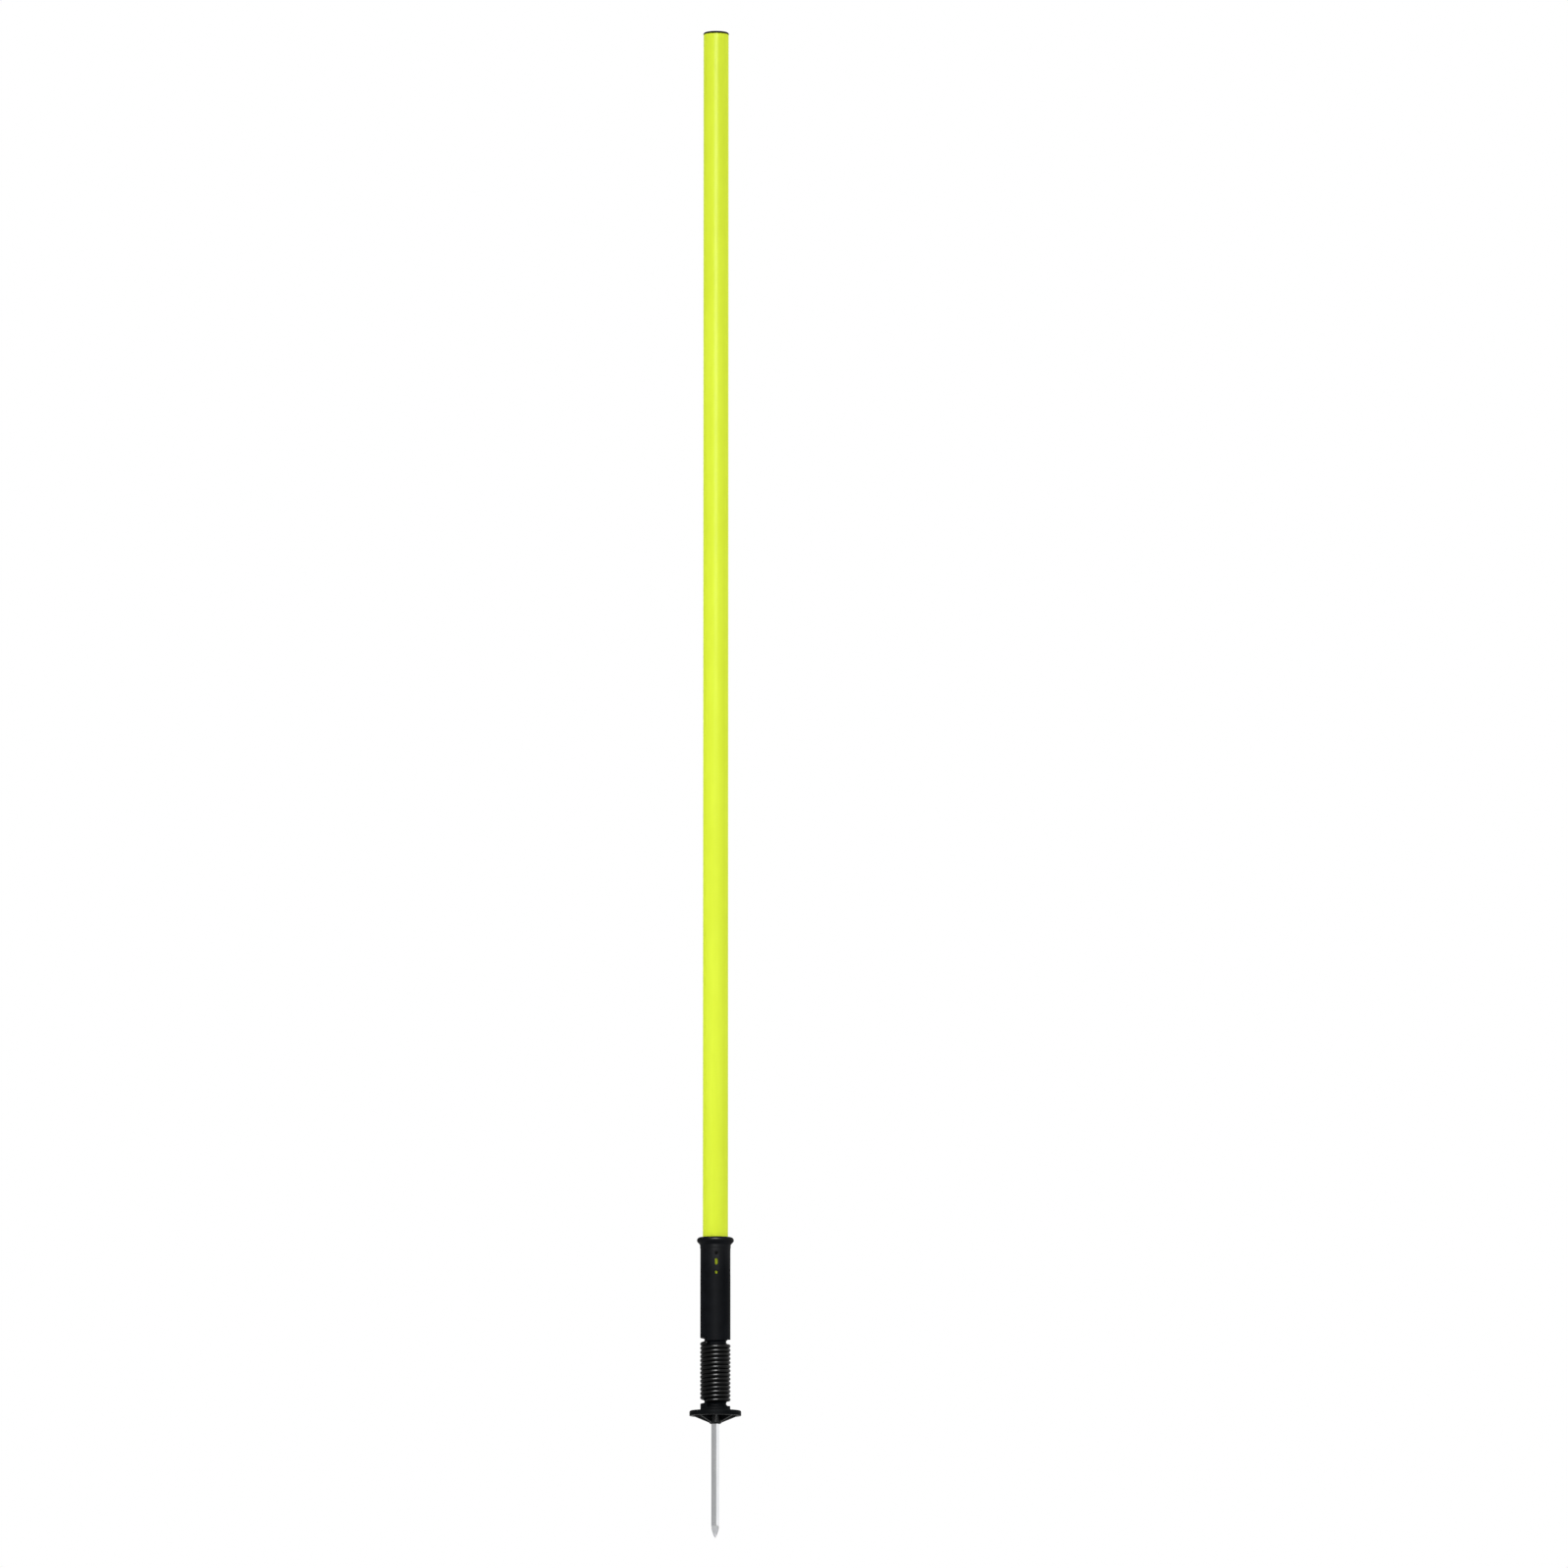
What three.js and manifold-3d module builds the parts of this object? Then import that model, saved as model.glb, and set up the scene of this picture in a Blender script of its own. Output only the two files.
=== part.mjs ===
// A slalom training pole. A plastic tube stands in a moulded socket. A coil spring screws onto a plug
// under the socket and onto a plug on a round foot, and a steel spike under the foot goes into the ground.
// Millimetres, +Z up. The origin is on the axis of the pole, on the flat underside of the foot's rim.
import * as THREE from "three";
import { mergeVertices } from "three/addons/utils/BufferGeometryUtils.js";
import Module from "manifold-3d";

const wasm = await Module();
wasm.setup();

const degree = Math.PI / 180;

// Clearances.
const fitGap = 0.3;
const cutOverrun = 1;

// Pole tube.
const poleDiameter = 25;
const poleWall = 1.8;
const poleLength = 1293.2;

// End cap.
const capDiameter = 25.5;
const capFlange = 2.4;
const capEdge = 2.2;
const capPlugLength = 16;
const capPlugWall = 1.7;
const capBarbCount = 3;
const capBarbHeight = 0.6;
const capBarbRise = 2.6;
const capBarbPitch = 4.4;

// Coil spring, wound to the right, with both ends at the front left.
const springWire = 4;
const springMeanDiameter = 26.1;
const springPitch = 4.05;
const springTurns = 14;
const springEndAngle = -125 * degree;

// Threaded plugs that the spring screws onto. The thread runs on for some empty turns past each end of
// the wire, and its last flank is the sloping end of the foot's collar and of the socket.
const plugThreadHeight = 0.9;
const plugTurns = 1.5;
const plugEmptyTurns = 1;
const plugChamfer = 0.8;

// Foot.
const footDiameter = 51;
const footRimHeight = 5.2;
const footRimTopEdge = 1.6;
const footRimBottomEdge = 0.5;
const footRimLand = 3.4;
const footCrown = 0.8;
const footSkin = 2.4;
const footCollarDiameter = 29.5;
const footCollarLowHeight = 8.35;
const footHubDiameter = 12.6;
const footHubDepth = 7.8;
const footHubChamfer = 1.3;
const footRibCount = 8;
const footRibThickness = 1.9;
const footRibDepth = 6.5;
const footRibTurn = -87 * degree;

// Spike, with its stud, washer and nut.
const spikeDiameter = 8;
const spikeReach = 120.4;
const spikePointLength = 13.4;
const spikeShoulderHeight = 2;
const spikeStudDiameter = 6;
const spikeStudChamfer = 0.6;
const spikeStudStickOut = 1.4;
const spikeWebThickness = 9;
const washerDiameter = 12;
const washerThickness = 1.2;
const nutAcrossFlats = 10;
const nutThickness = 5;
const nutPocketClearance = 1;

// Socket.
const socketWall = 2.1;
const socketFloor = 6.2;
const socketDepth = 92.2;
const socketLeadIn = 0.5;
const beadDiameter = 36.4;
const beadRadius = 3.1;
const beadBelowTop = 3.1;
const neckRingHeight = 3;
const neckRingStep = 0.25;
const neckRingBelowTop = 10.7;

// Windows in the socket: in each set, a screw hole, a slot and a round hole stand in a shallow recess.
const windowSets = 4;
const windowTurn = -85.5 * degree;
const windowRecessWidth = 4.4;
const windowRecessDepth = 0.4;
const windowRecessMargin = 1.3;
const screwHoleBelowTop = 16.3;
const screwHoleDiameter = 3.6;
const slotBelowTop = 24.7;
const slotWidth = 2.8;
const slotLength = 6.2;
const sightHoleBelowTop = 35.5;
const sightHoleDiameter = 3.1;

// Screw that holds the tube in the socket.
const screwSeatLedge = 0.65;
const screwHeadSink = 0.1;
const screwShankDiameter = 2;
const screwPastWall = 2.2;
const screwTipTaper = 1;

// Facet counts.
const largeRoundSteps = 40;
const smallRoundSteps = 20;
const holeSteps = 12;
const beadSteps = 6;
const edgeSteps = 4;
const pointSteps = 5;
const springStepsPerTurn = 24;
const springSides = 6;
const grooveSteps = 5;

// Worked out from the sizes above: radii.
const poleRadius = poleDiameter / 2;
const poleBoreRadius = poleRadius - poleWall;
const capRadius = capDiameter / 2;
const socketBoreRadius = poleRadius + fitGap;
const socketRadius = socketBoreRadius + socketWall;
const springRadius = springMeanDiameter / 2;
const grooveRadius = springWire / 2 + fitGap;
const plugRootRadius = springRadius - grooveRadius;
const plugRadius = plugRootRadius + plugThreadHeight;
const footRadius = footDiameter / 2;
const footCollarRadius = footCollarDiameter / 2;
const footHubRadius = footHubDiameter / 2;
const spikeRadius = spikeDiameter / 2;
const spikeStudRadius = spikeStudDiameter / 2;
const screwHeadRadius = screwHoleDiameter / 2 - fitGap;
const screwShankRadius = screwShankDiameter / 2;
const grooveOuterRadius = Math.max(socketRadius, footCollarRadius, springRadius) + cutOverrun;

// Worked out from the sizes above: heights, from the foot up.
const springBaseHeight = footCollarLowHeight + springPitch * plugEmptyTurns + grooveRadius;
const springTopHeight = springBaseHeight + springPitch * springTurns;
const footCollarHighHeight = springBaseHeight - grooveRadius;
const footPlugTop = springBaseHeight + springPitch * plugTurns;
const washerSeatHeight = spikeShoulderHeight + spikeWebThickness;
const nutSeatHeight = washerSeatHeight + washerThickness;
const studTop = nutSeatHeight + nutThickness + spikeStudStickOut;
const socketPlugBottom = springTopHeight - springPitch * plugTurns;
const socketLowBottom = springTopHeight + grooveRadius;
const socketHighBottom = socketLowBottom + springPitch * plugEmptyTurns;
const poleSeatHeight = socketHighBottom + socketFloor;
const socketTop = poleSeatHeight + socketDepth;
const poleTop = poleSeatHeight + poleLength;
const screwHeight = socketTop - screwHoleBelowTop;
const slotHeight = socketTop - slotBelowTop;
const sightHoleHeight = socketTop - sightHoleBelowTop;

// A closed mesh as a solid, with its shared corners joined and its empty triangles left out.
function solidFrom(geometry) {
  const bare = geometry.clone();
  bare.deleteAttribute("normal");
  bare.deleteAttribute("uv");
  const welded = mergeVertices(bare);
  const corners = welded.index.array;
  const kept = [];
  for (let i = 0; i < corners.length; i += 3) {
    const [a, b, c] = corners.slice(i, i + 3);
    if (a !== b && b !== c && c !== a) kept.push(a, b, c);
  }
  const mesh = new wasm.Mesh({
    numProp: 3,
    vertProperties: welded.attributes.position.array,
    triVerts: new Uint32Array(kept),
  });
  return new wasm.Manifold(mesh);
}

// A solid as a geometry with flat faces.
function geometryFrom(solid) {
  const { vertProperties, triVerts } = solid.getMesh();
  const shared = new THREE.BufferGeometry();
  shared.setAttribute("position", new THREE.BufferAttribute(new Float32Array(vertProperties), 3));
  shared.setIndex(new THREE.BufferAttribute(new Uint32Array(triVerts), 1));
  const faceted = shared.toNonIndexed();
  faceted.computeVertexNormals();
  return faceted;
}

// An outline of [radius, height] points, counter-clockwise, turned about the axis of the pole.
function revolved(outline, steps) {
  const points = outline.map(([radius, height]) => new THREE.Vector2(radius, height));
  return new THREE.LatheGeometry(points, steps).rotateX(Math.PI / 2);
}

// Points of a round stretch of an outline, from one angle to another.
function arc(centreRadius, centreHeight, radius, from, to, steps) {
  const points = [];
  for (let i = 0; i <= steps; i += 1) {
    const angle = from + ((to - from) * i) / steps;
    points.push([centreRadius + radius * Math.cos(angle), centreHeight + radius * Math.sin(angle)]);
  }
  return points;
}

// A convex section of [radius, height] points, counter-clockwise, carried up the spring's helix through
// the given turns, which count from the lower end of the wire.
function coiled(section, turns) {
  const positions = [];
  for (const turn of turns) {
    const angle = springEndAngle + turn * 2 * Math.PI;
    const rise = springBaseHeight + turn * springPitch;
    for (const [radius, height] of section) {
      positions.push(radius * Math.cos(angle), radius * Math.sin(angle), rise + height);
    }
  }
  const sides = section.length;
  const faces = [];
  for (let i = 0; i + 1 < turns.length; i += 1) {
    for (let j = 0; j < sides; j += 1) {
      const near = i * sides + j;
      const nearNext = i * sides + ((j + 1) % sides);
      faces.push(nearNext, near, near + sides);
      faces.push(nearNext, near + sides, nearNext + sides);
    }
  }
  const last = (turns.length - 1) * sides;
  for (let j = 1; j + 1 < sides; j += 1) {
    faces.push(0, j, j + 1);
    faces.push(last, last + j + 1, last + j);
  }
  const geometry = new THREE.BufferGeometry();
  geometry.setAttribute("position", new THREE.Float32BufferAttribute(positions, 3));
  geometry.setIndex(faces);
  return geometry;
}

// Turn counts in even steps from one turn to another, both ends included.
function evenTurns(from, to) {
  const count = Math.max(1, Math.round((to - from) * springStepsPerTurn));
  return Array.from({ length: count + 1 }, (_, i) => from + ((to - from) * i) / count);
}

// The groove that the spring seats in, made half a turn at a time: round inside, open to the outside.
function springGroove(from, to) {
  const inner = arc(springRadius, 0, grooveRadius, Math.PI / 2, (3 * Math.PI) / 2, grooveSteps);
  const section = [...inner, [grooveOuterRadius, -grooveRadius], [grooveOuterRadius, grooveRadius]];
  const halfTurn = 0.5;
  const stretches = [];
  for (let turn = from; turn < to; turn += halfTurn) {
    const end = Math.min(turn + halfTurn, to);
    stretches.push(solidFrom(coiled(section, evenTurns(turn, end))));
  }
  return stretches.reduce((groove, stretch) => groove.add(stretch));
}

// A round pin that points away from the axis of the pole, at an angle round it and a height.
function radialPin(radius, from, to, angle, height, tipRadius = radius) {
  return new THREE.CylinderGeometry(radius, tipRadius, to - from, holeSteps)
    .rotateZ(-Math.PI / 2)
    .translate((from + to) / 2, 0, 0)
    .rotateZ(angle)
    .translate(0, 0, height);
}

// A slot with round ends that stands upright and points away from the axis of the pole.
function radialSlot(width, length, from, to, angle, height) {
  const radius = width / 2;
  const straight = Math.max(0, length - width) / 2;
  const outline = new THREE.Shape();
  outline.absarc(0, straight, radius, 0, Math.PI);
  outline.absarc(0, -straight, radius, Math.PI, 2 * Math.PI);
  const options = { depth: to - from, bevelEnabled: false, curveSegments: holeSteps / 2 };
  const upright = new THREE.Matrix4().makeBasis(
    new THREE.Vector3(0, 1, 0),
    new THREE.Vector3(0, 0, 1),
    new THREE.Vector3(1, 0, 0),
  );
  return new THREE.ExtrudeGeometry(outline, options)
    .applyMatrix4(upright)
    .translate(from, 0, 0)
    .rotateZ(angle)
    .translate(0, 0, height);
}

// A round cut on the axis of the pole.
function axialCut(radius, from, to, steps) {
  const outline = [
    [0, from],
    [radius, from],
    [radius, to],
    [0, to],
  ];
  return solidFrom(revolved(outline, steps));
}

function poleTube() {
  const outline = [
    [poleBoreRadius, poleSeatHeight],
    [poleRadius, poleSeatHeight],
    [poleRadius, poleTop],
    [poleBoreRadius, poleTop],
    [poleBoreRadius, poleSeatHeight],
  ];
  const screwHole = radialPin(
    screwShankRadius + fitGap,
    poleBoreRadius - cutOverrun,
    poleRadius + cutOverrun,
    windowTurn,
    screwHeight,
  );
  return solidFrom(revolved(outline, largeRoundSteps)).subtract(solidFrom(screwHole));
}

// The cap's plug is hollow from below and has barbs that grip the bore of the tube.
function endCap() {
  const barbRadius = poleBoreRadius - fitGap;
  const coreRadius = barbRadius - capBarbHeight;
  const hollowRadius = coreRadius - capPlugWall;
  const plugBottom = poleTop - capPlugLength;
  const top = poleTop + capFlange;
  const outline = [
    [0, poleTop],
    [hollowRadius, poleTop],
    [hollowRadius, plugBottom],
  ];
  for (let i = 0; i < capBarbCount; i += 1) {
    const barbBottom = plugBottom + i * capBarbPitch;
    outline.push([coreRadius, barbBottom]);
    outline.push([barbRadius, barbBottom + capBarbRise]);
    outline.push([coreRadius, barbBottom + capBarbRise]);
  }
  outline.push([coreRadius, poleTop], [capRadius, poleTop]);
  outline.push(...arc(capRadius - capEdge, top - capEdge, capEdge, 0, Math.PI / 2, edgeSteps), [0, top]);
  return solidFrom(revolved(outline, largeRoundSteps));
}

function windowSet(angle) {
  const floorRadius = socketRadius - windowRecessDepth;
  const outside = socketRadius + cutOverrun;
  const inside = socketBoreRadius - cutOverrun;
  const recessTop = screwHeight + screwHoleDiameter / 2 + windowRecessMargin;
  const recessBottom = sightHoleHeight - sightHoleDiameter / 2 - windowRecessMargin;
  const recessHeight = (recessTop + recessBottom) / 2;
  const recessLength = recessTop - recessBottom;
  const screwSeat = socketBoreRadius + screwSeatLedge;
  return [
    radialSlot(windowRecessWidth, recessLength, floorRadius, outside, angle, recessHeight),
    radialPin(screwHoleDiameter / 2, screwSeat, outside, angle, screwHeight),
    radialPin(screwShankRadius + fitGap, inside, outside, angle, screwHeight),
    radialSlot(slotWidth, slotLength, inside, outside, angle, slotHeight),
    radialPin(sightHoleDiameter / 2, inside, outside, angle, sightHoleHeight),
  ];
}

// The socket is closed by a floor that the tube stands on, and its plug reaches down into the spring.
function poleSocket() {
  const beadCentreRadius = beadDiameter / 2 - beadRadius;
  const beadCentreHeight = socketTop - beadBelowTop;
  const ringRadius = socketRadius + neckRingStep;
  const ringBottom = socketTop - neckRingBelowTop;
  const beadFrom = -50 * degree;
  const outline = [
    [0, socketPlugBottom],
    [plugRadius - plugChamfer, socketPlugBottom],
    [plugRadius, socketPlugBottom + plugChamfer],
    [plugRadius, socketLowBottom],
    [socketRadius, socketLowBottom],
    [socketRadius, ringBottom - neckRingStep],
    [ringRadius, ringBottom],
    [ringRadius, ringBottom + neckRingHeight],
    ...arc(beadCentreRadius, beadCentreHeight, beadRadius, beadFrom, Math.PI / 2, beadSteps),
    [socketBoreRadius + socketLeadIn, beadCentreHeight + beadRadius],
    [socketBoreRadius, beadCentreHeight + beadRadius - socketLeadIn],
    [socketBoreRadius, poleSeatHeight],
    [0, poleSeatHeight],
  ];
  let socket = solidFrom(revolved(outline, largeRoundSteps));
  socket = socket.subtract(springGroove(springTurns - plugTurns - 1, springTurns + plugEmptyTurns));
  for (let i = 0; i < windowSets; i += 1) {
    const angle = windowTurn + (i * 2 * Math.PI) / windowSets;
    for (const cut of windowSet(angle)) socket = socket.subtract(solidFrom(cut));
  }
  return socket;
}

// A recessed screw: its head lies in the socket's wall and its shank goes through the tube.
function lockScrew() {
  const headSeat = socketBoreRadius + screwSeatLedge + fitGap;
  const headTop = socketRadius - windowRecessDepth - screwHeadSink;
  const shankTip = poleBoreRadius - screwPastWall;
  const shankEnd = shankTip + screwTipTaper;
  const neckOverlap = (headTop - headSeat) / 2;
  const head = radialPin(screwHeadRadius, headSeat, headTop, windowTurn, screwHeight);
  const shank = radialPin(screwShankRadius, shankEnd, headSeat + neckOverlap, windowTurn, screwHeight);
  const tip = radialPin(
    screwShankRadius / 2,
    shankTip,
    shankEnd,
    windowTurn,
    screwHeight,
    screwShankRadius,
  );
  return solidFrom(head).add(solidFrom(shank)).add(solidFrom(tip));
}

// The turns at which the wire has a section: its first and last runs are straight for one wire diameter.
function springWireTurns() {
  const straight = springWire / (2 * Math.PI * springRadius);
  return [0, ...evenTurns(straight, springTurns - straight), springTurns];
}

// The wire's section has flats above and below, so that the close turns stay clear of each other.
function springSection() {
  const corners = arc(springRadius, 0, springWire / 2, 0, 2 * Math.PI, springSides);
  return corners.slice(0, springSides);
}

// The least distance between points of the wire's surface that lie more than half a turn apart.
function leastGapToItself(geometry) {
  const position = geometry.attributes.position;
  const pointsInHalfTurn = (springSides * springStepsPerTurn) / 2;
  const near = new THREE.Vector3();
  const far = new THREE.Vector3();
  let least = Infinity;
  for (let i = 0; i < position.count; i += 1) {
    near.fromBufferAttribute(position, i);
    for (let j = i + pointsInHalfTurn; j < position.count; j += 1) {
      far.fromBufferAttribute(position, j);
      least = Math.min(least, near.distanceTo(far));
    }
  }
  return least;
}

function coilSpring() {
  const wire = coiled(springSection(), springWireTurns());
  console.log(`least gap of the spring to itself: ${leastGapToItself(wire).toFixed(2)} mm`);
  return solidFrom(wire);
}

// One of the ribs under the foot. It slopes from the rim down to the hub.
function footRib(angle) {
  const inner = spikeRadius + fitGap + footHubChamfer;
  const outer = footRadius - footRimLand;
  const rise = footRimHeight - footSkin / 2;
  const outline = new THREE.Shape([
    new THREE.Vector2(inner, -footRibDepth),
    new THREE.Vector2(footHubRadius, -footRibDepth),
    new THREE.Vector2(outer, 0),
    new THREE.Vector2(outer, rise),
    new THREE.Vector2(inner, rise),
  ]);
  const rib = new THREE.ExtrudeGeometry(outline, { depth: footRibThickness, bevelEnabled: false })
    .rotateX(Math.PI / 2)
    .translate(0, footRibThickness / 2, 0)
    .rotateZ(angle);
  return solidFrom(rib);
}

// The foot is one moulding: a ribbed disc, a hub round the spike, a collar and a plug for the spring.
function groundFoot() {
  const discTop = footRimHeight + footCrown;
  const landInner = footRadius - footRimLand;
  const ceiling = footRimHeight - footSkin;
  const hubTop = ceiling + footSkin / 2;
  const bottomEdge = arc(
    footRadius - footRimBottomEdge,
    footRimBottomEdge,
    footRimBottomEdge,
    -Math.PI / 2,
    0,
    edgeSteps,
  );
  const topEdge = arc(
    footRadius - footRimTopEdge,
    footRimHeight - footRimTopEdge,
    footRimTopEdge,
    0,
    Math.PI / 2,
    edgeSteps,
  );
  const outline = [
    [0, -footHubDepth],
    [footHubRadius - footHubChamfer, -footHubDepth],
    [footHubRadius, -footHubDepth + footHubChamfer],
    [footHubRadius, hubTop],
    [landInner - footSkin / 2, ceiling],
    [landInner, ceiling - footSkin / 2],
    [landInner, 0],
    ...bottomEdge,
    ...topEdge,
    [footCollarRadius + footCrown, discTop],
    [footCollarRadius, discTop + footCrown],
    [footCollarRadius, footCollarHighHeight],
    [plugRadius, footCollarHighHeight],
    [plugRadius, footPlugTop - plugChamfer],
    [plugRadius - plugChamfer, footPlugTop],
    [0, footPlugTop],
  ];
  let foot = solidFrom(revolved(outline, largeRoundSteps));
  for (let i = 0; i < footRibCount; i += 1) {
    foot = foot.add(footRib(footRibTurn + (i * 2 * Math.PI) / footRibCount));
  }
  const pocketRadius = washerDiameter / 2 + nutPocketClearance;
  const spikeHoleBottom = -footHubDepth - cutOverrun;
  return foot
    .subtract(springGroove(-plugEmptyTurns, plugTurns + 1))
    .subtract(axialCut(spikeRadius + fitGap, spikeHoleBottom, spikeShoulderHeight, smallRoundSteps))
    .subtract(axialCut(spikeStudRadius + fitGap, spikeHoleBottom, footPlugTop, smallRoundSteps))
    .subtract(axialCut(pocketRadius, washerSeatHeight, footPlugTop + cutOverrun, smallRoundSteps));
}

// The spike's point is a paraboloid, and its shoulder bears on the foot under the stud.
function groundSpike() {
  const outline = [];
  for (let i = 0; i <= pointSteps; i += 1) {
    const share = i / pointSteps;
    outline.push([spikeRadius * (1 - (1 - share) ** 2), -spikeReach + spikePointLength * share]);
  }
  outline.push(
    [spikeRadius, spikeShoulderHeight],
    [spikeStudRadius, spikeShoulderHeight],
    [spikeStudRadius, studTop - spikeStudChamfer],
    [spikeStudRadius - spikeStudChamfer, studTop],
    [0, studTop],
  );
  return solidFrom(revolved(outline, smallRoundSteps));
}

function spikeWasher() {
  const inner = spikeStudRadius + fitGap;
  const outer = washerDiameter / 2;
  const outline = [
    [inner, washerSeatHeight],
    [outer, washerSeatHeight],
    [outer, nutSeatHeight],
    [inner, nutSeatHeight],
    [inner, washerSeatHeight],
  ];
  return solidFrom(revolved(outline, smallRoundSteps));
}

function spikeNut() {
  const cornerRadius = nutAcrossFlats / 2 / Math.cos(Math.PI / 6);
  const top = nutSeatHeight + nutThickness;
  const hexagon = new THREE.CylinderGeometry(cornerRadius, cornerRadius, nutThickness, 6)
    .rotateX(Math.PI / 2)
    .translate(0, 0, nutSeatHeight + nutThickness / 2);
  const bore = axialCut(
    spikeStudRadius + fitGap,
    nutSeatHeight - cutOverrun,
    top + cutOverrun,
    smallRoundSteps,
  );
  return solidFrom(hexagon).subtract(bore);
}

function piece(name, solid, color, roughness, metalness) {
  const material = new THREE.MeshStandardMaterial({ color, roughness, metalness });
  const mesh = new THREE.Mesh(geometryFrom(solid), material);
  mesh.name = name;
  return mesh;
}

const limePlastic = [0xddf042, 0.42, 0];
const blackPlastic = [0x16191c, 0.5, 0];
const coatedSteel = [0x0d0e10, 0.28, 0.3];
const brightSteel = [0xc4c6c8, 0.25, 1];

const group = new THREE.Group();
group.add(
  piece("ground_foot", groundFoot(), ...blackPlastic),
  piece("spike", groundSpike(), ...brightSteel),
  piece("spike_washer", spikeWasher(), ...brightSteel),
  piece("spike_nut", spikeNut(), ...brightSteel),
  piece("coil_spring", coilSpring(), ...coatedSteel),
  piece("pole_socket", poleSocket(), ...blackPlastic),
  piece("lock_screw", lockScrew(), ...coatedSteel),
  piece("pole_tube", poleTube(), ...limePlastic),
  piece("end_cap", endCap(), ...blackPlastic),
);

export default group;
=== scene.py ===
import math

import bmesh
import bpy
from mathutils import Matrix, Vector


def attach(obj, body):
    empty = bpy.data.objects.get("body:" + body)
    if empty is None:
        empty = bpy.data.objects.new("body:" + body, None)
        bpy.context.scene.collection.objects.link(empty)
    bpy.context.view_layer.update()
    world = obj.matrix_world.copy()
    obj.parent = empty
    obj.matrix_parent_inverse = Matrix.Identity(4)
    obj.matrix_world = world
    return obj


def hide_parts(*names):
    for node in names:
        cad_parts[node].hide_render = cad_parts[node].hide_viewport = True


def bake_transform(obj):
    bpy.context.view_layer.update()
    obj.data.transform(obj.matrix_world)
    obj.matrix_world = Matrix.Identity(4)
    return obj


# A slalom training pole: fine surfaces and finishes for each piece, and the studio it stands in.
# Sizes are in millimetres and become metres when a mesh is made. +Z runs up the pole from ground level.
# An edge or a lip is a radius that rounds a corner, and a drop is a distance below the socket's top.

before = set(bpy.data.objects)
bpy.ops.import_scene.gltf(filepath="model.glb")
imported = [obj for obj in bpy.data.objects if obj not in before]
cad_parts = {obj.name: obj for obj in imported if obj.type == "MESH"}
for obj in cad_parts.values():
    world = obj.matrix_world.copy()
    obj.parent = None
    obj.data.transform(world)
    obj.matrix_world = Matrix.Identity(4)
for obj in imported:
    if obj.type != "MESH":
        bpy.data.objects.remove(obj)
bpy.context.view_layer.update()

MILLIMETRE = 0.001
FULL_TURN = 2 * math.pi
QUARTER_TURN = math.pi / 2
ON_AXIS = 1e-6

# All pieces
FIT_GAP = 0.3
CUT_OVERRUN = 1.0
CUT_MARGIN = 2.2

# Tube
POLE_RADIUS = 12.5
POLE_BORE_RADIUS = 10.7
POLE_LENGTH = 1293.2
POLE_END_EDGE = 0.3
POLE_HOLE_LIP = 0.1

# Cap
CAP_RADIUS = 12.75
CAP_FLANGE = 2.4
CAP_EDGE = 1.95
CAP_UNDER_EDGE = 0.15
CAP_CROWN = 0.2
CAP_PLUG_LENGTH = 16.0
CAP_PLUG_WALL = 1.7
CAP_PLUG_EDGE = 0.3
CAP_HOLLOW_EDGE = 0.8
CAP_BARB_COUNT = 3
CAP_BARB_HEIGHT = 0.6
CAP_BARB_RISE = 2.6
CAP_BARB_PITCH = 4.4
CAP_BARB_ROOT_EDGE = 0.15
CAP_BARB_TIP_EDGE = 0.12
CAP_BARB_BACK_EDGE = 0.2
CAP_GATE_RADIUS = 1.5
CAP_GATE_DEPTH = 0.35
CAP_GATE_SLOPE = 0.5
CAP_GATE_RIM_EDGE = 0.4
CAP_GATE_FLOOR_EDGE = 0.3

# Spring
WIRE_RADIUS = 2.02
WIRE_END_CHAMFER = 0.25
SPRING_RADIUS = 13.05
SPRING_PITCH = 4.05
SPRING_TURNS = 14
SPRING_END_ANGLE = math.radians(-125)
SPRING_BASE = 14.7
SPRING_TOP = SPRING_BASE + SPRING_PITCH * SPRING_TURNS

# Threaded plugs of the foot and the socket
PLUG_TURNS = 1.5
PLUG_EMPTY_TURNS = 1
PLUG_RADIUS = 11.65
PLUG_CHAMFER = 0.8
PLUG_EDGE = 0.2
GROOVE_RADIUS = 2.3
GROOVE_OUTER_RADIUS = 16.0
GROOVE_OVERRUN_TURNS = 1
GROOVE_CUT_TURNS = 0.5

# Foot
FOOT_RADIUS = 25.5
FOOT_RIM_HEIGHT = 5.2
FOOT_RIM_TOP_EDGE = 1.6
FOOT_RIM_BOTTOM_EDGE = 0.5
FOOT_RIM_INNER_EDGE = 0.3
FOOT_RIM_LAND = 3.4
FOOT_CROWN = 0.8
FOOT_SKIN = 2.4
FOOT_COLLAR_RADIUS = 14.75
FOOT_COLLAR_TOP = 12.4
FOOT_COLLAR_ROOT_EDGE = 1.2
FOOT_HUB_RADIUS = 6.3
FOOT_HUB_DEPTH = 7.8
FOOT_HUB_CHAMFER = 1.3
FOOT_HUB_BOTTOM_EDGE = 0.3
FOOT_HUB_SIDE_EDGE = 0.5
FOOT_HUB_ROOT_EDGE = 1.0
FOOT_RIB_COUNT = 8
FOOT_RIB_THICKNESS = 1.9
FOOT_RIB_DRAFT = 0.35
FOOT_RIB_DEPTH = 6.5
FOOT_RIB_EDGE = 0.45
FOOT_RIB_BORE_WALL = 1.0
FOOT_RIB_OVERLAP = 0.1
FOOT_RIB_TURN = math.radians(-87)
FOOT_PLUG_TOP = SPRING_BASE + SPRING_PITCH * PLUG_TURNS

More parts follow.
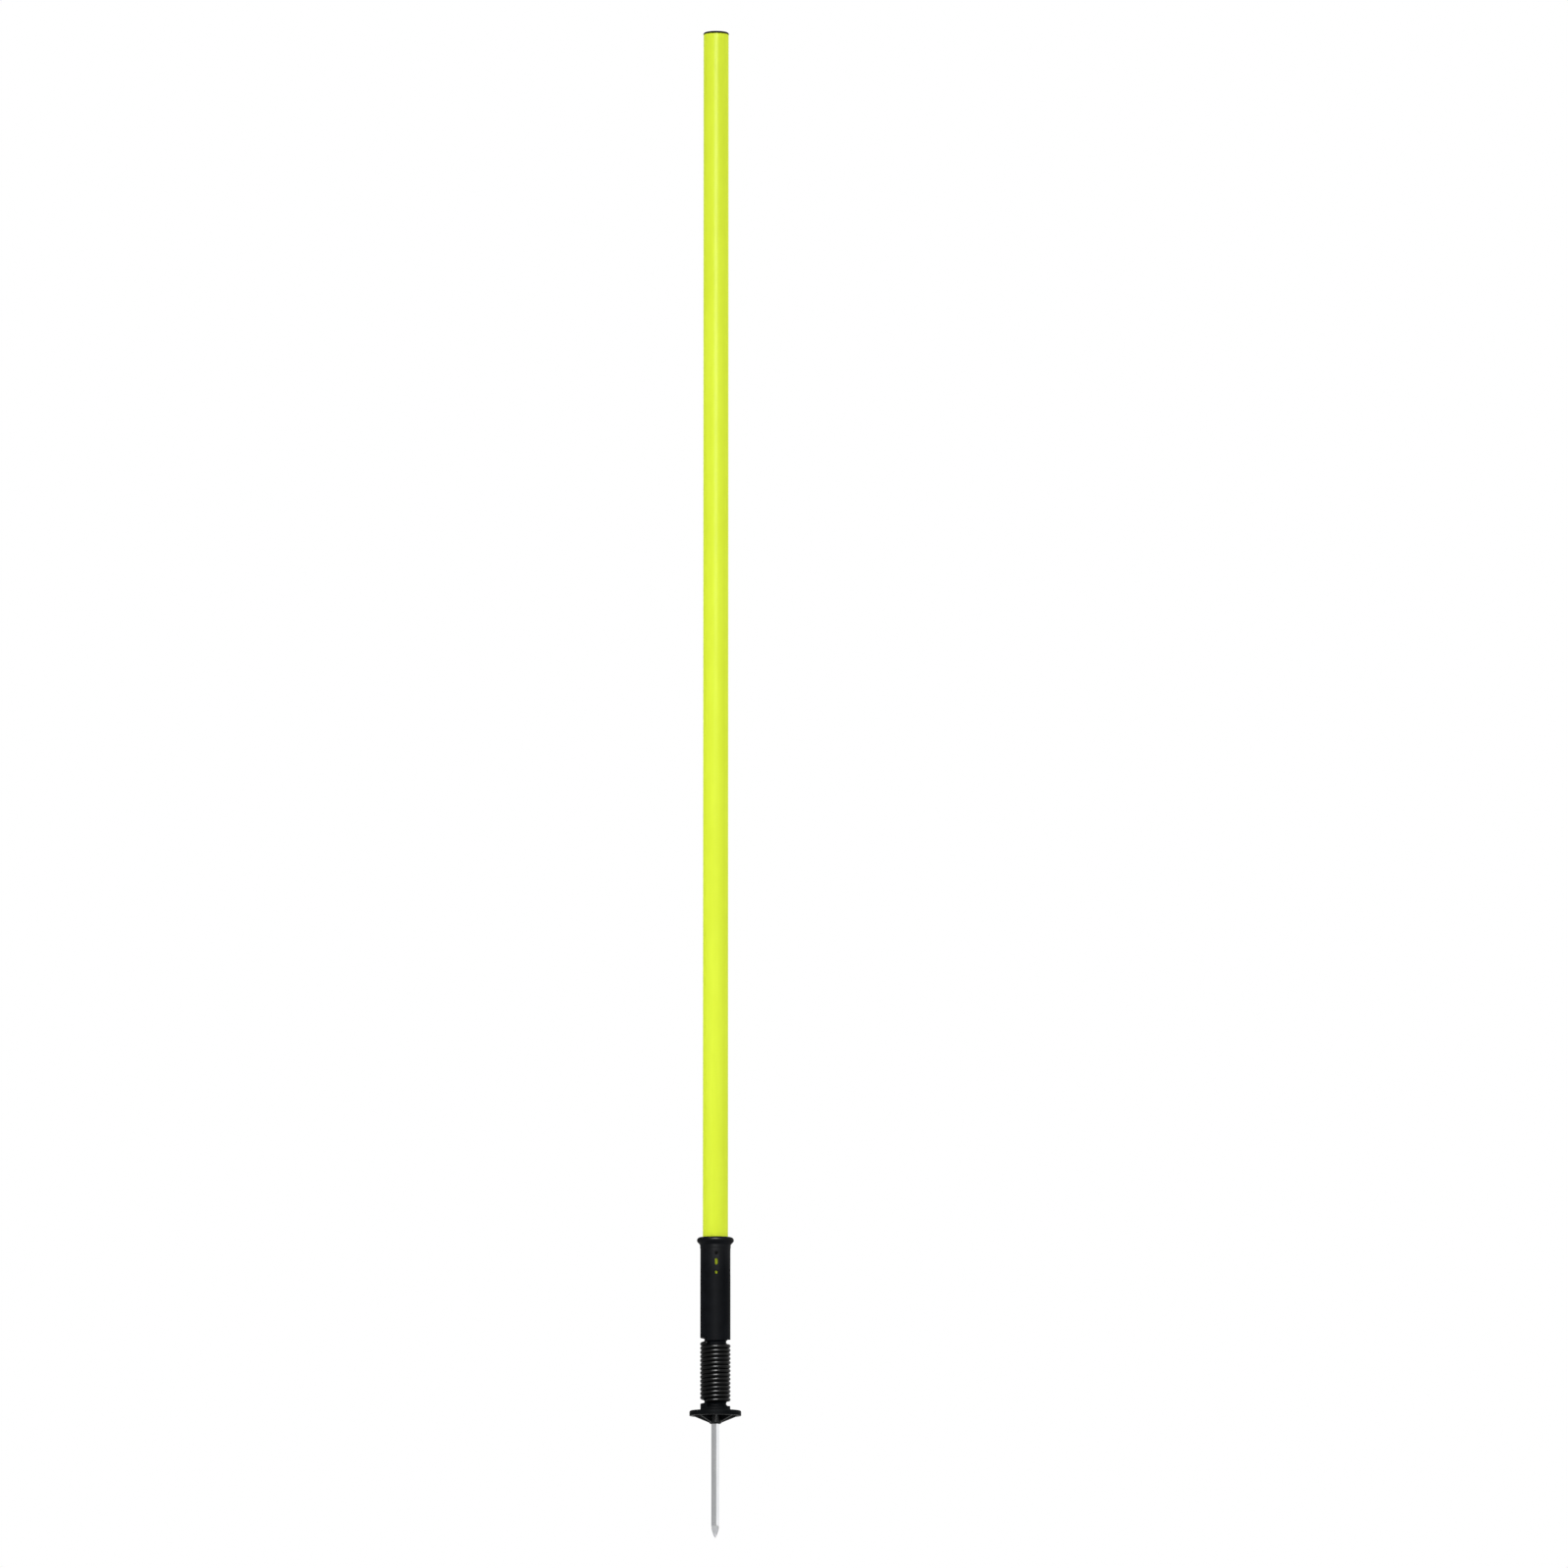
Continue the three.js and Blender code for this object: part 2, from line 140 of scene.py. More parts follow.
# Spike
SPIKE_RADIUS = 4.0
SPIKE_REACH = 120.4
SPIKE_POINT = 13.4
SPIKE_POINT_SHAPE = 1.5
SPIKE_RINGS_FADE = 2.5
SPIKE_SHOULDER = 2.0
SPIKE_SHOULDER_CHAMFER = 0.3
STUD_RADIUS = 3.0
STUD_TOP = 18.6
STUD_TOP_CHAMFER = 0.6
STUD_PITCH = 1.0
STUD_THREAD_DEPTH = 0.55
STUD_NECK = 0.4

# Washer and nut
WASHER_SEAT = 11.0
WASHER_RADIUS = 6.0
WASHER_THICKNESS = 1.2
WASHER_BORE_EDGE = 0.1
WASHER_BOTTOM_EDGE = 0.15
WASHER_TOP_EDGE = 0.35
NUT_SEAT = WASHER_SEAT + WASHER_THICKNESS
NUT_HALF_FLATS = 5.0
NUT_THICKNESS = 5.0
NUT_CORNER_HEIGHT = 0.45
NUT_FACE_STEP = 0.1
NUT_BLANK_CLEARANCE = 0.02
NUT_BORE_CHAMFER = 0.5
NUT_POCKET_RADIUS = 7.0

# Socket
SOCKET_BORE_RADIUS = 12.8
SOCKET_RADIUS = 14.9
SOCKET_PLUG_BOTTOM = SPRING_TOP - SPRING_PITCH * PLUG_TURNS
SOCKET_LOW_BOTTOM = SPRING_TOP + GROOVE_RADIUS
SOCKET_HIGH_BOTTOM = SOCKET_LOW_BOTTOM + SPRING_PITCH * PLUG_EMPTY_TURNS
SOCKET_FLOOR = 6.2
SOCKET_FLOOR_EDGE = 0.6
SOCKET_DEPTH = 92.2
POLE_SEAT = SOCKET_HIGH_BOTTOM + SOCKET_FLOOR
POLE_TOP = POLE_SEAT + POLE_LENGTH
SOCKET_TOP = POLE_SEAT + SOCKET_DEPTH
BEAD_RADIUS = 3.1
BEAD_OUTER_RADIUS = 18.2
BEAD_CENTRE_RADIUS = BEAD_OUTER_RADIUS - BEAD_RADIUS
BEAD_CENTRE_HEIGHT = SOCKET_TOP - BEAD_RADIUS
BEAD_START = math.radians(-62)
SOCKET_LEAD_IN = 0.5
SOCKET_LEAD_IN_EDGE = 0.4
SOCKET_MOUTH_EDGE = 0.15
NECK_RING_TOP_DROP = 7.7
NECK_RING_BOTTOM_DROP = 10.7
NECK_RING_TOP = SOCKET_TOP - NECK_RING_TOP_DROP
NECK_RING_BOTTOM = SOCKET_TOP - NECK_RING_BOTTOM_DROP
NECK_RING_STEP = 0.25
NECK_RING_EDGE = 0.2

# Windows in the socket's wall
WINDOW_SETS = 4
WINDOW_TURN = math.radians(-85.5)
WINDOW_LIP = 0.2
SCREW_DROP = 16.3
SCREW_HEIGHT = SOCKET_TOP - SCREW_DROP
SCREW_HOLE_DIAMETER = 3.6
SCREW_HOLE_LIP = 0.15
SCREW_SEAT_LEDGE = 0.65
SHANK_HOLE_LIP = 0.05
SLOT_DROP = 24.7
SLOT_HEIGHT = SOCKET_TOP - SLOT_DROP
SLOT_WIDTH = 2.8
SLOT_LENGTH = 6.2
SIGHT_HOLE_DROP = 35.5
SIGHT_HOLE_HEIGHT = SOCKET_TOP - SIGHT_HOLE_DROP
SIGHT_HOLE_DIAMETER = 3.1
RECESS_WIDTH = 4.4
RECESS_DEPTH = 0.4
RECESS_MARGIN = 1.3
RECESS_LIP = 0.15
RECESS_TOP = SCREW_HEIGHT + SCREW_HOLE_DIAMETER / 2 + RECESS_MARGIN
RECESS_BOTTOM = SIGHT_HOLE_HEIGHT - SIGHT_HOLE_DIAMETER / 2 - RECESS_MARGIN

# Lock screw
SCREW_SHANK_RADIUS = 1.0
SCREW_PITCH = 0.8
SCREW_THREAD_DEPTH = 0.28
SCREW_HEAD_RADIUS = SCREW_HOLE_DIAMETER / 2 - FIT_GAP
SCREW_HEAD_SINK = 0.1
SCREW_HEAD_CHAMFER = 0.1
SCREW_HEAD_EDGE = 0.22
SCREW_TIP_PLACE = 8.5
SCREW_TIP_LENGTH = 1.0
SCREW_TIP_RADIUS = 0.35
SCREW_TIP_BULGE = 0.6
SCREW_TIP_BULGE_RADIUS = 0.75
SCREW_TIP_THREAD_SHARE = 0.4
CROSS_DEPTH = 0.5
CROSS_RISE = 0.4
CROSS_FLOOR_HALF = (0.4, 0.12)
CROSS_TOP_HALF = (0.9, 0.28)

# Gloss where pieces are worn smooth
HAND_GLOSS = 0.09
SOIL_GLOSS = 0.75
RIM_RUB_BOTTOM = -0.2
RIM_RUB_TOP = 0.8
HUB_RUB_BOTTOM = -7.0
HUB_RUB_TOP = -6.3
HUB_GLOSS_SHARE = 0.2

# Fineness of the round faces
ROUND_STEPS = 144
SMALL_ROUND_STEPS = 64
BEAD_STEPS = 24
CORNER_STEPS = 4
FINE_CORNER_STEPS = 6
SLOT_END_STEPS = 12
LIP_STEPS = 3
SPIKE_POINT_STEPS = 28
STUD_THREAD_STEPS = 150
STUD_RUN_IN_STEPS = 10
SCREW_THREAD_STEPS = 56
SCREW_RUN_OUT_STEPS = 4
SCREW_ROUND_STEPS = 32
FLOOR_STEPS = 96
WIRE_STEPS_PER_TURN = 72
WIRE_SIDES = 24
GROOVE_STEPS_PER_TURN = 96
GROOVE_SIDES = 14

# Shading and the spring's map
MAP_UNITS_PER_TURN = 40
CREASE = math.radians(32)
FINE_CREASE = math.radians(40)


# Shapes

def ring(radius, height, steps):
    """Points of a level circle round the axis, or one point where the radius is nothing."""
    if radius < ON_AXIS:
        return [Vector((0, 0, height))]
    turns = [FULL_TURN * i / steps for i in range(steps)]
    return [Vector((radius * math.cos(turn), radius * math.sin(turn), height)) for turn in turns]


def rounded(corners, steps=CORNER_STEPS):
    """An outline of (radius, height) corners. A third number is the radius that rounds the corner."""
    points = []
    for i, corner in enumerate(corners):
        here = Vector(corner[:2])
        if len(corner) < 3:
            points.append(here)
            continue
        before = (Vector(corners[i - 1][:2]) - here).normalized()
        after = (Vector(corners[(i + 1) % len(corners)][:2]) - here).normalized()
        half = before.angle(after) / 2
        middle = here + (before + after).normalized() * (corner[2] / math.sin(half))
        reach = corner[2] / math.tan(half)
        start = here + before * reach - middle
        end = here + after * reach - middle
        first = math.atan2(start.y, start.x)
        sweep = (math.atan2(end.y, end.x) - first + math.pi) % FULL_TURN - math.pi
        for k in range(steps + 1):
            turn = first + sweep * k / steps
            points.append(middle + Vector((math.cos(turn), math.sin(turn))) * corner[2])
    return points


def arc(centre_radius, centre_height, radius, start, end, steps):
    """Points of a round stretch of an outline."""
    return [
        (
            centre_radius + radius * math.cos(start + (end - start) * i / steps),
            centre_height + radius * math.sin(start + (end - start) * i / steps),
        )
        for i in range(steps + 1)
    ]


def faces_between(first, second, first_count, second_count):
    """Faces between two rings of points, either of which may be a single tip."""
    count = max(first_count, second_count)
    faces = []
    for j in range(count):
        k = (j + 1) % count
        if first_count == 1:
            faces.append((first, second + k, second + j))
        elif second_count == 1:
            faces.append((first + j, first + k, second))
        else:
            faces.append((first + j, first + k, second + k, second + j))
    return faces


def solid(name, rings, closed=False):
    """A closed mesh through rings of points. It closes on itself, or ends in tips or flat faces."""
    points = [point * MILLIMETRE for row in rings for point in row]
    starts = [sum(len(row) for row in rings[:i]) for i in range(len(rings))]
    faces = []
    for i in range(len(rings) - (not closed)):
        k = (i + 1) % len(rings)
        faces += faces_between(starts[i], starts[k], len(rings[i]), len(rings[k]))
    if not closed:
        for i in (0, len(rings) - 1):
            if len(rings[i]) > 2:
                faces.append([starts[i] + j for j in range(len(rings[i]))])
    mesh = bpy.data.meshes.new(name)
    mesh.from_pydata(points, [], faces)
    made = bpy.data.objects.new(name, mesh)
    bpy.context.scene.collection.objects.link(made)
    face_outward(made)
    return made


def face_outward(piece):
    """Turns every face of a closed mesh to the outside."""
    work = bmesh.new()
    work.from_mesh(piece.data)
    bmesh.ops.recalc_face_normals(work, faces=work.faces)
    work.to_mesh(piece.data)
    work.free()


def turned(name, outline, steps=ROUND_STEPS):
    """An outline turned about the pole's axis. It starts and ends on the axis, or closes on itself."""
    closed = outline[0][0] > ON_AXIS
    return solid(name, [ring(radius, height, steps) for radius, height in outline], closed)


def keep_result(piece):
    """Makes what the piece's modifiers give its mesh."""
    bpy.context.view_layer.update()
    evaluated = piece.evaluated_get(bpy.context.evaluated_depsgraph_get())
    result = bpy.data.meshes.new_from_object(evaluated)
    piece.modifiers.clear()
    piece.data = result


def combine(piece, other, operation):
    """Cuts the other solid from the piece, or joins it to the piece, and keeps the result."""
    step = piece.modifiers.new(operation, "BOOLEAN")
    step.operation = operation
    step.solver = "MANIFOLD"
    step.object = other
    keep_result(piece)
    bpy.data.objects.remove(other)


def even_turns(start, end, per_turn):
    """Turns of the spring from start to end, in even steps."""
    count = max(1, round((end - start) * per_turn))
    return [start + (end - start) * i / count for i in range(count + 1)]


def coiled(section, turn):
    """A section of (radius, height) points at a turn of the spring. Turn 0 is the wire's lower end."""
    angle = SPRING_END_ANGLE + turn * FULL_TURN
    rise = SPRING_BASE + turn * SPRING_PITCH
    return [
        Vector((radius * math.cos(angle), radius * math.sin(angle), rise + height))
        for radius, height in section
    ]


def cut_spring_groove(piece, start, end):
    """Cuts the helical groove that the spring seats in, from one turn to another, in short lengths."""
    inner = arc(SPRING_RADIUS, 0, GROOVE_RADIUS, QUARTER_TURN, 3 * QUARTER_TURN, GROOVE_SIDES)
    section = [*inner, (GROOVE_OUTER_RADIUS, -GROOVE_RADIUS), (GROOVE_OUTER_RADIUS, GROOVE_RADIUS)]
    turn = start
    while turn < end:
        stop = min(turn + GROOVE_CUT_TURNS, end)
        rings = [coiled(section, t) for t in even_turns(turn, stop, GROOVE_STEPS_PER_TURN)]
        combine(piece, solid("groove_cutter", rings), "DIFFERENCE")
        turn = stop


def slot_outline(width, length):
    """A slot with round ends as (across, up) points, or a circle where its length is its width."""
    radius = width / 2
    straight = max(0.0, (length - width) / 2)
    points = []
    for centre, first in ((straight, 0.0), (-straight, math.pi)):
        for i in range(SLOT_END_STEPS + 1):
            angle = first + math.pi * i / SLOT_END_STEPS
            if straight == 0 and i == SLOT_END_STEPS:
                continue
            points.append((radius * math.cos(angle), centre + radius * math.sin(angle)))
    return points


def wall_cutter(width, length, height, angle, inner, mouth, lip):
    """A cutter for an opening in a wall, pointing away from the axis. A lip rounds its mouth.
    The mouth is a distance from the axis, or None where the opening starts on the socket's round face."""
    rows = [(lip, -CUT_OVERRUN)]
    for k in range(LIP_STEPS + 1):
        turn = QUARTER_TURN * k / LIP_STEPS
        rows.append((lip * (1 - math.sin(turn)), lip * (1 - math.cos(turn))))
    rings = []
    for offset, depth in rows:
        row = []
        for across, up in slot_outline(width + 2 * offset, length + 2 * offset):
            face = math.sqrt(SOCKET_RADIUS ** 2 - across ** 2) if mouth is None else mouth
            row.append(Vector((face - depth, across, height + up)))
        rings.append(row)
    rings.append([Vector((inner, across, height + up)) for across, up in slot_outline(width, length)])
    turn = Matrix.Rotation(angle, 3, "Z")
    return solid("wall_cutter", [[turn @ point for point in row] for row in rings])


def threaded(outline_rows, pitch, depth, steps):
    """Rings of a screw: each row is (radius, height, share of the thread's depth)."""
    rings = []
    for radius, height, share in outline_rows:
        if radius < ON_AXIS:
            rings.append(ring(0, height, steps))
            continue
        row = []
        for i in range(steps):
            phase = (height / pitch - i / steps) % 1
            cut = depth * share * abs(2 * phase - 1)
            angle = FULL_TURN * i / steps
            here = radius - cut
            row.append(Vector((here * math.cos(angle), here * math.sin(angle), height)))
        rings.append(row)
    return rings


def smooth(piece, crease=CREASE):
    """Smooth shading with creases at angles above the given one. Empty faces left by cuts go first."""
    piece.data.validate()
    piece.data.shade_smooth()
    piece.data.set_sharp_from_angle(angle=crease)


def smooth_round_cuts(piece):
    """Smooth shading that large faces lead, so that it stays even round an opening."""
    smooth(piece)
    step = piece.modifiers.new("even_shading", "WEIGHTED_NORMAL")
    step.keep_sharp = True
    keep_result(piece)


# Finishes

class Signal:
    """A value that changes over a surface. Python's operators on it add the maths to its finish."""

    def __init__(self, finish, socket):
        self.finish = finish
        self.socket = socket

    def maths(self, operation, *others):
        inputs = dict(enumerate((self, *others)))
        return self.finish.node("ShaderNodeMath", {"operation": operation}, inputs)

    def __add__(self, other):
        return self.maths("ADD", other)

    __radd__ = __add__

    def __mul__(self, other):
        return self.maths("MULTIPLY", other)

    __rmul__ = __mul__

    def __sub__(self, other):
        return self.maths("SUBTRACT", other)

    def __rsub__(self, other):
        return self * -1 + other

    def smoothly(self, low, high, start=0.0, end=1.0):
        """Start below low, end above high, and a smooth passage between them."""
        return self.finish.node(
            "ShaderNodeMapRange",
            {"interpolation_type": "SMOOTHSTEP"},
            {"Value": self, "From Min": low, "From Max": high, "To Min": start, "To Max": end},
        )


class Finish:
    """The nodes of one material or of the world. Its methods add nodes and give back their results."""

    def __init__(self, owner):
        self.owner = owner
        owner.use_nodes = True
        self.tree = owner.node_tree
        self.tree.nodes.clear()

    def node(self, kind, settings, inputs, output=0):
        made = self.tree.nodes.new(kind)
        for setting, value in settings.items():
            setattr(made, setting, value)
        for place, value in inputs.items():
            socket = made.inputs[place]
            if isinstance(value, Signal):
                self.tree.links.new(value.socket, socket)
            else:
                socket.default_value = value
        return Signal(self, made.outputs[output]) if made.outputs else None

    def place(self):
        """Where a point lies on its piece, in metres."""
        return self.node("ShaderNodeTexCoord", {}, {}, "Object")

    def along_wire(self):
        """How far along and round its wire a point lies."""
        return self.node("ShaderNodeTexCoord", {}, {}, "UV")

    def part_of(self, vector, axis):
        return self.node("ShaderNodeSeparateXYZ", {}, {0: vector}, axis)

    def stretched(self, vector, scales):
        return self.node("ShaderNodeVectorMath", {"operation": "MULTIPLY"}, {0: vector, 1: scales})

    def grain(self, vector, scale, detail=3.0, roughness=0.5):
        inputs = {"Vector": vector, "Scale": scale, "Detail": detail, "Roughness": roughness}
        return self.node("ShaderNodeTexNoise", {}, inputs)

    def cells(self, vector, scale):
        inputs = {"Vector": vector, "Scale": scale}
        return self.node("ShaderNodeTexVoronoi", {"feature": "F1"}, inputs)

    def blend_colours(self, share, first, second):
        inputs = {0: share, 6: first, 7: second}
        return self.node("ShaderNodeMix", {"data_type": "RGBA"}, inputs, 2)

    def relief(self, height, distance, strength=1.0):
        inputs = {"Height": height, "Distance": distance, "Strength": strength}
        return self.node("ShaderNodeBump", {}, inputs)

    def surface(self, **inputs):
        """The main shader, with its sockets set or linked by their names in lower case."""
        named = {}
        for key, value in inputs.items():
            named[key.replace("_", " ").title().replace("Ior", "IOR")] = value
        return self.node("ShaderNodeBsdfPrincipled", {}, named)

    def output(self, shader):
        is_world = isinstance(self.owner, bpy.types.World)
        kind = "ShaderNodeOutputWorld" if is_world else "ShaderNodeOutputMaterial"
        self.node(kind, {}, {"Surface": shader})
        return self.owner


def grey(level):
    return (level, level, level, 1.0)


def lime_extruded_plastic():
    """The tube's plastic: faint lines from the extruder run along it, with a few handling scuffs."""
    finish = Finish(bpy.data.materials.new("lime_extruded_plastic"))
    place = finish.place()
    lines = finish.grain(finish.stretched(place, (1.0, 1.0, 0.012)), scale=900.0, detail=2.0)
    broad = finish.grain(finish.stretched(place, (1.0, 1.0, 0.25)), scale=60.0)
    specks = finish.grain(place, scale=2600.0, detail=2.0)
    scuff_place = finish.stretched(place, (1.4, 1.4, 0.12))
    scuff_lines = finish.grain(scuff_place, scale=700.0, detail=4.0, roughness=0.62)
    scuff_spots = finish.grain(place, scale=26.0, detail=2.0)
    scuffs = scuff_lines.smoothly(0.64, 0.72) * scuff_spots.smoothly(0.6, 0.7)
    deep = (0.67, 0.80, 0.042, 1.0)
    pale = (0.70, 0.835, 0.050, 1.0)
    green = (0.60, 0.775, 0.034, 1.0)
    scuffed = (0.74, 0.86, 0.18, 1.0)
    tint = finish.blend_colours(broad.smoothly(0.3, 0.7), deep, pale)
    tint = finish.blend_colours(lines.smoothly(0.35, 0.75) * 0.25, tint, green)
    tint = finish.blend_colours(scuffs * 0.35, tint, scuffed)
    roughness = 0.18 + lines * 0.08 + specks * 0.04 + scuffs * 0.2
    height = lines * 0.6 + specks * 0.25 - scuffs * 0.6
    shader = finish.surface(
        base_color=tint,
        roughness=roughness,
        specular_ior_level=0.022,
        normal=finish.relief(height, distance=0.00003, strength=0.6),
    )
    return finish.output(shader)


def hand_polish(height):
    """The gloss on the upper part of the socket, where hands push the pole in and pull it out."""
    start = (RECESS_BOTTOM - CUT_MARGIN) * MILLIMETRE
    return height.smoothly(start, NECK_RING_BOTTOM * MILLIMETRE, 0.0, HAND_GLOSS)


def ground_polish(height):
    """The gloss on the ribs and the rim's lower edge, where soil rubs them. It is less on the hub."""
    rim_bottom, rim_top = (RIM_RUB_BOTTOM * MILLIMETRE, RIM_RUB_TOP * MILLIMETRE)
    hub_bottom, hub_top = (HUB_RUB_BOTTOM * MILLIMETRE, HUB_RUB_TOP * MILLIMETRE)
    under_rim = height.smoothly(rim_bottom, rim_top, SOIL_GLOSS, 0.0)
    return under_rim * height.smoothly(hub_bottom, hub_top, HUB_GLOSS_SHARE, 1.0)


def black_moulded_plastic(name, base, sheen_level, polish=None):
    """Moulded plastic with a fine spark-eroded skin, paler where it is rubbed.
    Polish gives the gloss at a height, for a piece that is worn smooth in places."""
    finish = Finish(bpy.data.materials.new(name))
    place = finish.place()
    skin = finish.grain(place, scale=3200.0, roughness=0.6)
    pores = finish.cells(place, scale=2400.0)
    clouds = finish.grain(place, scale=70.0)
    wear_place = finish.stretched(place, (1.0, 1.0, 0.2))
    wear_lines = finish.grain(wear_place, scale=420.0, detail=4.0, roughness=0.65)
    wear = wear_lines.smoothly(0.6, 0.72) * clouds.smoothly(0.5, 0.62)
    dark = (*(part * 0.8 for part in base), 1.0)
    light = (*(part * 1.25 for part in base), 1.0)
    worn = (0.02, 0.022, 0.025, 1.0)
    tint = finish.blend_colours(clouds.smoothly(0.3, 0.7), dark, light)
    tint = finish.blend_colours(wear * 0.3, tint, worn)
    roughness = 0.43 + clouds * 0.10 + skin * 0.08 - wear * 0.1
    gloss = polish(finish.part_of(place, "Z")) if polish else 0.0
    shader = finish.surface(
        base_color=tint,
        roughness=roughness,
        specular_ior_level=sheen_level,
        coat_weight=gloss,
        coat_roughness=0.34,
        normal=finish.relief(skin * 0.7 + pores * 0.5, distance=0.00006, strength=0.5),
    )
    return finish.output(shader)


def coated_spring_steel():
    """Glossy black coating, with fine lines along the wire and rubbed bands where turns touch."""
    finish = Finish(bpy.data.materials.new("coated_spring_steel"))
    place = finish.place()
    wire = finish.along_wire()
    round_wire = finish.part_of(wire, "Y")
    lines = finish.grain(finish.stretched(wire, (0.6, 220.0, 1.0)), scale=1.0, detail=2.0)
    orange_peel = finish.grain(place, scale=900.0, detail=2.0)
    contact = (((round_wire - 0.25) * 2).maths("FRACT") - 0.5).maths("ABSOLUTE").smoothly(0.45, 0.49)
    patchy = finish.grain(place, scale=300.0).smoothly(0.42, 0.62)
    rubbed = contact * patchy
    dark = (0.0006, 0.0008, 0.0009, 1.0)
    light = (0.0012, 0.0015, 0.0017, 1.0)
    worn = (0.02, 0.021, 0.022, 1.0)
    tint = finish.blend_colours(orange_peel.smoothly(0.3, 0.7), dark, light)
    tint = finish.blend_colours(rubbed * 0.5, tint, worn)
    roughness = 0.25 + orange_peel * 0.05 + lines * 0.04 + rubbed * 0.1
    shader = finish.surface(
        base_color=tint,
        roughness=roughness,
        specular_ior_level=0.15,
        normal=finish.relief(orange_peel * 0.6 + lines * 0.4, distance=0.000012, strength=0.4),
    )
    return finish.output(shader)


def blackened_steel():
    """The lock screw: dull black oxide with faint turning rings, a little browner in patches."""
    finish = Finish(bpy.data.materials.new("blackened_steel"))
    place = finish.place()
    patches = finish.grain(place, scale=900.0).smoothly(0.35, 0.65)
    rings = finish.grain(finish.stretched(place, (0.1, 1.0, 1.0)), scale=5200.0, detail=2.0)
    black = (0.0006, 0.0007, 0.0008, 1.0)
    brown = (0.0016, 0.0014, 0.0013, 1.0)
    tint = finish.blend_colours(patches, black, brown)
    shader = finish.surface(
        base_color=tint,
        roughness=0.5 + patches * 0.12,
        specular_ior_level=0.02,
        normal=finish.relief(rings, distance=0.00001, strength=0.4),
    )
    return finish.output(shader)


def drawn_steel():
    """Bright steel bar: drawing lines run along it, and turning rings go round its point."""
    finish = Finish(bpy.data.materials.new("drawn_bright_steel"))
    place = finish.place()
    height = finish.part_of(place, "Z")
    lines = finish.grain(finish.stretched(place, (1.0, 1.0, 0.01)), scale=2600.0, roughness=0.6)
    blotches = finish.grain(finish.stretched(place, (1.0, 1.0, 0.3)), scale=140.0)
    rings = finish.grain(finish.stretched(place, (0.02, 0.02, 1.0)), scale=5200.0, detail=2.0)
    point_start = SPIKE_POINT - SPIKE_REACH
    rings_start = (point_start - SPIKE_RINGS_FADE) * MILLIMETRE
    on_point = height.smoothly(rings_start, point_start * MILLIMETRE, 1.0, 0.0)
    dull = (0.80, 0.81, 0.83, 1.0)
    clear = (0.88, 0.885, 0.90, 1.0)
    scored = (0.62, 0.63, 0.65, 1.0)
    tint = finish.blend_colours(blotches.smoothly(0.3, 0.75), dull, clear)
    tint = finish.blend_colours(lines.smoothly(0.45, 0.8) * 0.5, tint, scored)
    marks = lines * (1 - on_point) + rings * on_point
    roughness = 0.07 + lines * 0.08 + on_point * 0.03 + blotches * 0.03
    shader = finish.surface(
        base_color=tint,
        metallic=1.0,
        roughness=roughness,
        normal=finish.relief(marks, distance=0.000012, strength=0.6),
    )
    return finish.output(shader)


def plated_steel():
    """Zinc plating on the washer and nut: grey with faint patches, a little dull."""
    finish = Finish(bpy.data.materials.new("plated_steel"))
    place = finish.place()
    patches = finish.cells(place, scale=420.0)
    fog = finish.grain(place, scale=220.0, detail=4.0)
    rings = finish.grain(finish.stretched(place, (0.1, 0.1, 1.0)), scale=4200.0, detail=2.0)
    dull = (0.52, 0.54, 0.56, 1.0)
    clear = (0.70, 0.71, 0.70, 1.0)
    tint = finish.blend_colours(fog.smoothly(0.3, 0.7), dull, clear)
    roughness = 0.26 + patches * 0.12 + fog * 0.1
    shader = finish.surface(
        base_color=tint,
        metallic=1.0,
        roughness=roughness,
        normal=finish.relief(rings * 0.5 + fog * 0.5, distance=0.00002, strength=0.5),
    )
    return finish.output(shader)


# Pieces

def dress(piece, finish, node, body=None):
    """Gives a piece its finish and its place among the bodies. It stands for one node of the model."""
    piece.data.materials.clear()
    piece.data.materials.append(finish)
    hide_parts(node)
    if body:
        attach(piece, body)


def make_pole_tube():
    """A plain tube with a hole for the lock screw. Loops of edges keep its shading even round the hole."""
    edge = POLE_END_EDGE
    below_hole = SCREW_HEIGHT - CUT_MARGIN
    above_hole = SCREW_HEIGHT + CUT_MARGIN
    outline = rounded([
        (POLE_BORE_RADIUS, POLE_SEAT, edge),
        (POLE_RADIUS, POLE_SEAT, edge),
        (POLE_RADIUS, below_hole),
        (POLE_RADIUS, above_hole),
        (POLE_RADIUS, POLE_TOP, edge),
        (POLE_BORE_RADIUS, POLE_TOP, edge),
        (POLE_BORE_RADIUS, above_hole),
        (POLE_BORE_RADIUS, below_hole),
    ])
    tube = turned("lime_tube", outline)
    hole = wall_cutter(
        2 * (SCREW_SHANK_RADIUS + FIT_GAP),
        0,
        SCREW_HEIGHT,
        WINDOW_TURN,
        POLE_BORE_RADIUS - CUT_OVERRUN,
        POLE_RADIUS,
        POLE_HOLE_LIP,
    )
    combine(tube, hole, "DIFFERENCE")
    smooth_round_cuts(tube)
    return tube


